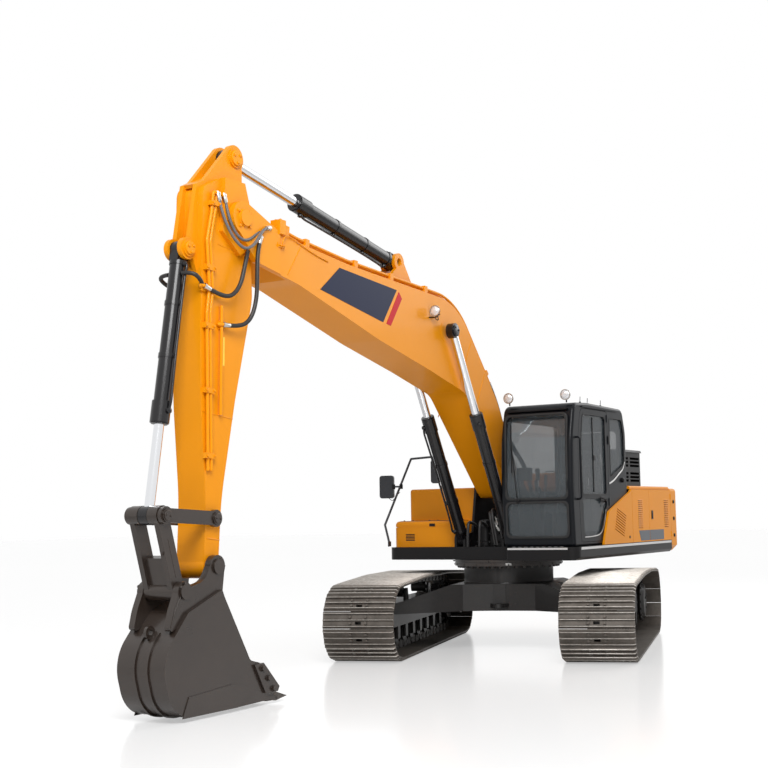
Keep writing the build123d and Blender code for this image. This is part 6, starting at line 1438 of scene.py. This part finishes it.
# wiper with its arm and blade, on the upper pane
pivot = at(front_x_at(1.74) + 0.004, 0.62, 1.742)
cab_gear.turned(pivot, (1, 0, 0), [(0, 0.022), (0.02, 0.022), (0.026, 0.012)], 20)
tip = at(front_x_at(2.42) + 0.014, 0.55, 2.42)
cab_gear.hose(spline([pivot + Vector((0.016, 0, 0)), at(front_x_at(2.0) + 0.03, 0.6, 2.0), tip]), 0.006, 8)
cab_gear.hose(spline([tip - Vector((0.004, 0, 0.36)), tip, tip + Vector((-0.01, 0, 0.2))]), 0.007, 6)
# gutter over the windscreen
cab_gear.box(at(0.83, 0.47, 2.765), at(0.875, 1.23, 2.785))
# roof hatch and three short rubber aerials
cab_gear.box(at(-0.35, 0.56, 2.863), at(0.28, 1.14, 2.88))
for x, y in ((-0.02, 1.1), (-0.42, 1.1), (0.24, 1.12)):
    cab_gear.rod(at(x, y, 2.86), at(x, y, 2.9), 0.012, 12)
    cab_gear.rod(at(x, y, 2.9), at(x - 0.01, y, 2.96), 0.004, 8)
# catch that holds the open door, and covers over the door's two hinges
cab_gear.turned(at(-0.55, CAB_SIDE, 1.98), (0, 1, 0), [
    (-0.002, 0.03), (0.02, 0.03), (0.032, 0.018), (0.034, 0.004),
], 24)
for z in (1.5, 2.45):
    cab_gear.box(at(-0.17, CAB_SIDE, z - 0.05), at(-0.135, CAB_SIDE + 0.012, z + 0.05))
cab_gear.done("cab_gear", "house", frame_black, 0.002)


SEAL_PROUD = 0.003


def side_seal(name, body, corners, bend):
    """Flat rubber seal round a side pane whose corners are pairs (x, z)."""
    outer = corner_arc([at(x, CAB_SIDE, z) for x, z in corners], bend)
    middle = sum(outer, Vector()) / len(outer)
    inner = []
    for before, point, after in zip(outer[-1:] + outer[:-1], outer, outer[1:] + outer[:1]):
        inward = Vector((0, 1, 0)).cross(after - before).normalized()
        inner.append(point + inward * copysign(SEAL_WIDTH, inward.dot(middle - point)))
    seal = Shape()
    seal.skin([
        [point + Vector((0, lift, 0)) for point in line]
        for line, lift in ((outer, 0), (outer, SEAL_PROUD), (inner, SEAL_PROUD), (inner, 0))
    ], closed=True)
    seal.done(name, body, seal_rubber)


def side_strip(name, body, spots, y, section, round_edge):
    """A bright strip along a smooth line of (x, z) spots on the cab's side; the trim strip is real, the one
    on the door's lower edge is a painted highlight.
    """
    strip = Shape()
    line = spline([at(x, y, z) for x, z in spots])
    strip.skin([[point + Vector((0, out, up)) for out, up in section] for point in line])
    strip.done(name, body, bright_strip, round_edge)


side_seal(
    "rear_side_seal", "house",
    [(-0.19, 2.0), (-0.19, 2.725), (-0.59, 2.725), (-0.645, 2.545), (-0.645, 2.175)], 0.05,
)
side_strip(
    "cab_trim_strip", "house",
    [(-0.135, 1.935), (-0.25, 1.955), (-0.46, 2.06), (-0.6, 2.12), (-0.635, 2.2)], CAB_SIDE + 0.004,
    ((0, -0.011), (0.004, -0.009), (0.004, 0.009), (0, 0.011)), 0.001,
)

door_gear = Shape()
# pull handle on its plate, lock, bar between the two panes and the window's latch
door_gear.box(at(0.02, CAB_SIDE, 1.7), at(0.14, CAB_SIDE + 0.005, 1.78))
door_gear.hose(spline([
    at(0.03, CAB_SIDE + 0.002, 1.72), at(0.035, CAB_SIDE + 0.04, 1.725),
    at(0.125, CAB_SIDE + 0.04, 1.755), at(0.13, CAB_SIDE + 0.002, 1.76),
]), 0.008, 10)
door_gear.turned(at(0.06, CAB_SIDE, 1.665), (0, 1, 0), [(0, 0.014), (0.006, 0.014), (0.008, 0.01)], 20)
door_gear.box(at(0.28, CAB_SIDE - 0.018, 1.83), at(0.298, CAB_SIDE - 0.008, 2.7))
door_gear.box(at(0.24, CAB_SIDE - 0.014, 2.2), at(0.29, CAB_SIDE - 0.002, 2.26))
door_gear.done("door_gear", "cab_door", frame_black, 0.002)
side_seal(
    "door_upper_seal", "cab_door",
    [(-0.062, 1.797), (0.652, 1.797), (0.66, 2.42), (0.6, 2.735), (-0.062, 2.735)], 0.06,
)
# painted highlight: a bright strip along the door's lower edge
side_strip(
    "door_lower_painted_highlight", "cab_door",
    [(-0.01, 1.625), (0.02, 1.5), (0.12, 1.36), (0.3, 1.318), (0.62, 1.318)], CAB_SIDE + 0.002,
    ((0, -0.006), (0.003, -0.005), (0.003, 0.005), (0, 0.006)), 0.0,
)

mounts = Shape()
for x in (-0.55, 0.75):
    for y in (0.52, 1.18):
        mounts.turned(at(x, y, 1.205), (0, 0, 1), [(0, 0.06), (0.006, 0.06), (0.012, 0.05), (0.02, 0.05)], 24)
mounts.done("cab_mounts", "house", seal_rubber)

# ---- Studio ----------------------------------------------------------------------------
# A white sweep with one big soft lamp overhead in front and to the left, and a weaker and
# wider one behind. The camera stands low in front, on the machine's left.
CAMERA_PLACE = at(14.218, 7.252, 1.597)
FORWARD = Vector((-0.8664, -0.4890, 0.1011)).normalized()
RIGHT = Vector((-0.4932, 0.8697, -0.0201)).normalized()
LENS_LENGTH = 60.47
SIDE_SHIFT = -0.0859
camera_data = bpy.data.cameras.new("camera")
camera_data.lens = LENS_LENGTH
camera_data.shift_x = SIDE_SHIFT
camera_data.clip_end = 200
camera = bpy.data.objects.new("camera", camera_data)
bpy.context.scene.collection.objects.link(camera)
camera.matrix_world = Matrix.Translation(CAMERA_PLACE) @ Matrix(
    (RIGHT, RIGHT.cross(FORWARD), -FORWARD)
).transposed().to_4x4()
bpy.context.scene.camera = camera

FLOOR_REACH = 90
FLOOR_GLOW = 1.42
GLOW_SHARE = 0.3
floor_data = bpy.data.meshes.new("studio_floor")
floor_data.from_pydata(
    [(x * FLOOR_REACH, y * FLOOR_REACH, 0) for x, y in ((-1, -1), (1, -1), (1, 1), (-1, 1))],
    [], [(0, 1, 2, 3)],
)
floor = bpy.data.objects.new("studio_floor", floor_data)
bpy.context.scene.collection.objects.link(floor)
floor_white = Finish("studio_floor", (0.9, 0.9, 0.9), 0.16)
glow = floor_white.node("ShaderNodeEmission", {}, (1, 1, 1, 1), FLOOR_GLOW)
rays = floor_white.node("ShaderNodeLightPath", {}, output="Is Camera Ray")
lit = Wire(floor_white, floor_white.shader.outputs[0])
shown_floor = floor_white.node("ShaderNodeMixShader", {}, rays * GLOW_SHARE, lit, glow)
floor_white.tree.links.new(
    shown_floor.socket, floor_white.tree.nodes["Material Output"].inputs["Surface"]
)
floor_white.coat(floor)

world = bpy.data.worlds.new("studio")
bpy.context.scene.world = world
world.use_nodes = True


class Backdrop(Finish):
    """The studio's surroundings, made of nodes as a finish is."""

    def __init__(self, surroundings):
        self.tree = surroundings.node_tree


ROOM_LIGHT = 0.42
backdrop = Backdrop(world)
seen = backdrop.node("ShaderNodeLightPath", {}, output="Is Camera Ray")
mirrored = backdrop.node("ShaderNodeLightPath", {}, output="Is Glossy Ray")
through = backdrop.node("ShaderNodeLightPath", {}, output="Is Transmission Ray")
white = (seen + mirrored + through).clip()
background = backdrop.tree.nodes["Background"]
background.inputs["Color"].default_value = (1, 1, 1, 1)
backdrop.tree.links.new((white * (1 - ROOM_LIGHT) + ROOM_LIGHT).socket, background.inputs["Strength"])

for name, place, aim, size, power in (
    ("key_lamp", at(12, 6, 9.5), at(1.8, 0, 1.8), 6, 1450),
    ("rim_lamp", at(-8, 5, 9), at(1.8, 0, 2), 8, 500),
):
    lamp_data = bpy.data.lights.new(name, "AREA")
    lamp_data.size = size
    lamp_data.energy = power
    lamp = bpy.data.objects.new(name, lamp_data)
    bpy.context.scene.collection.objects.link(lamp)
    lamp.location = place
    lamp.rotation_mode = "QUATERNION"
    lamp.rotation_quaternion = (aim - place).to_track_quat("-Z", "Y")

bpy.context.scene.view_settings.view_transform = "Standard"
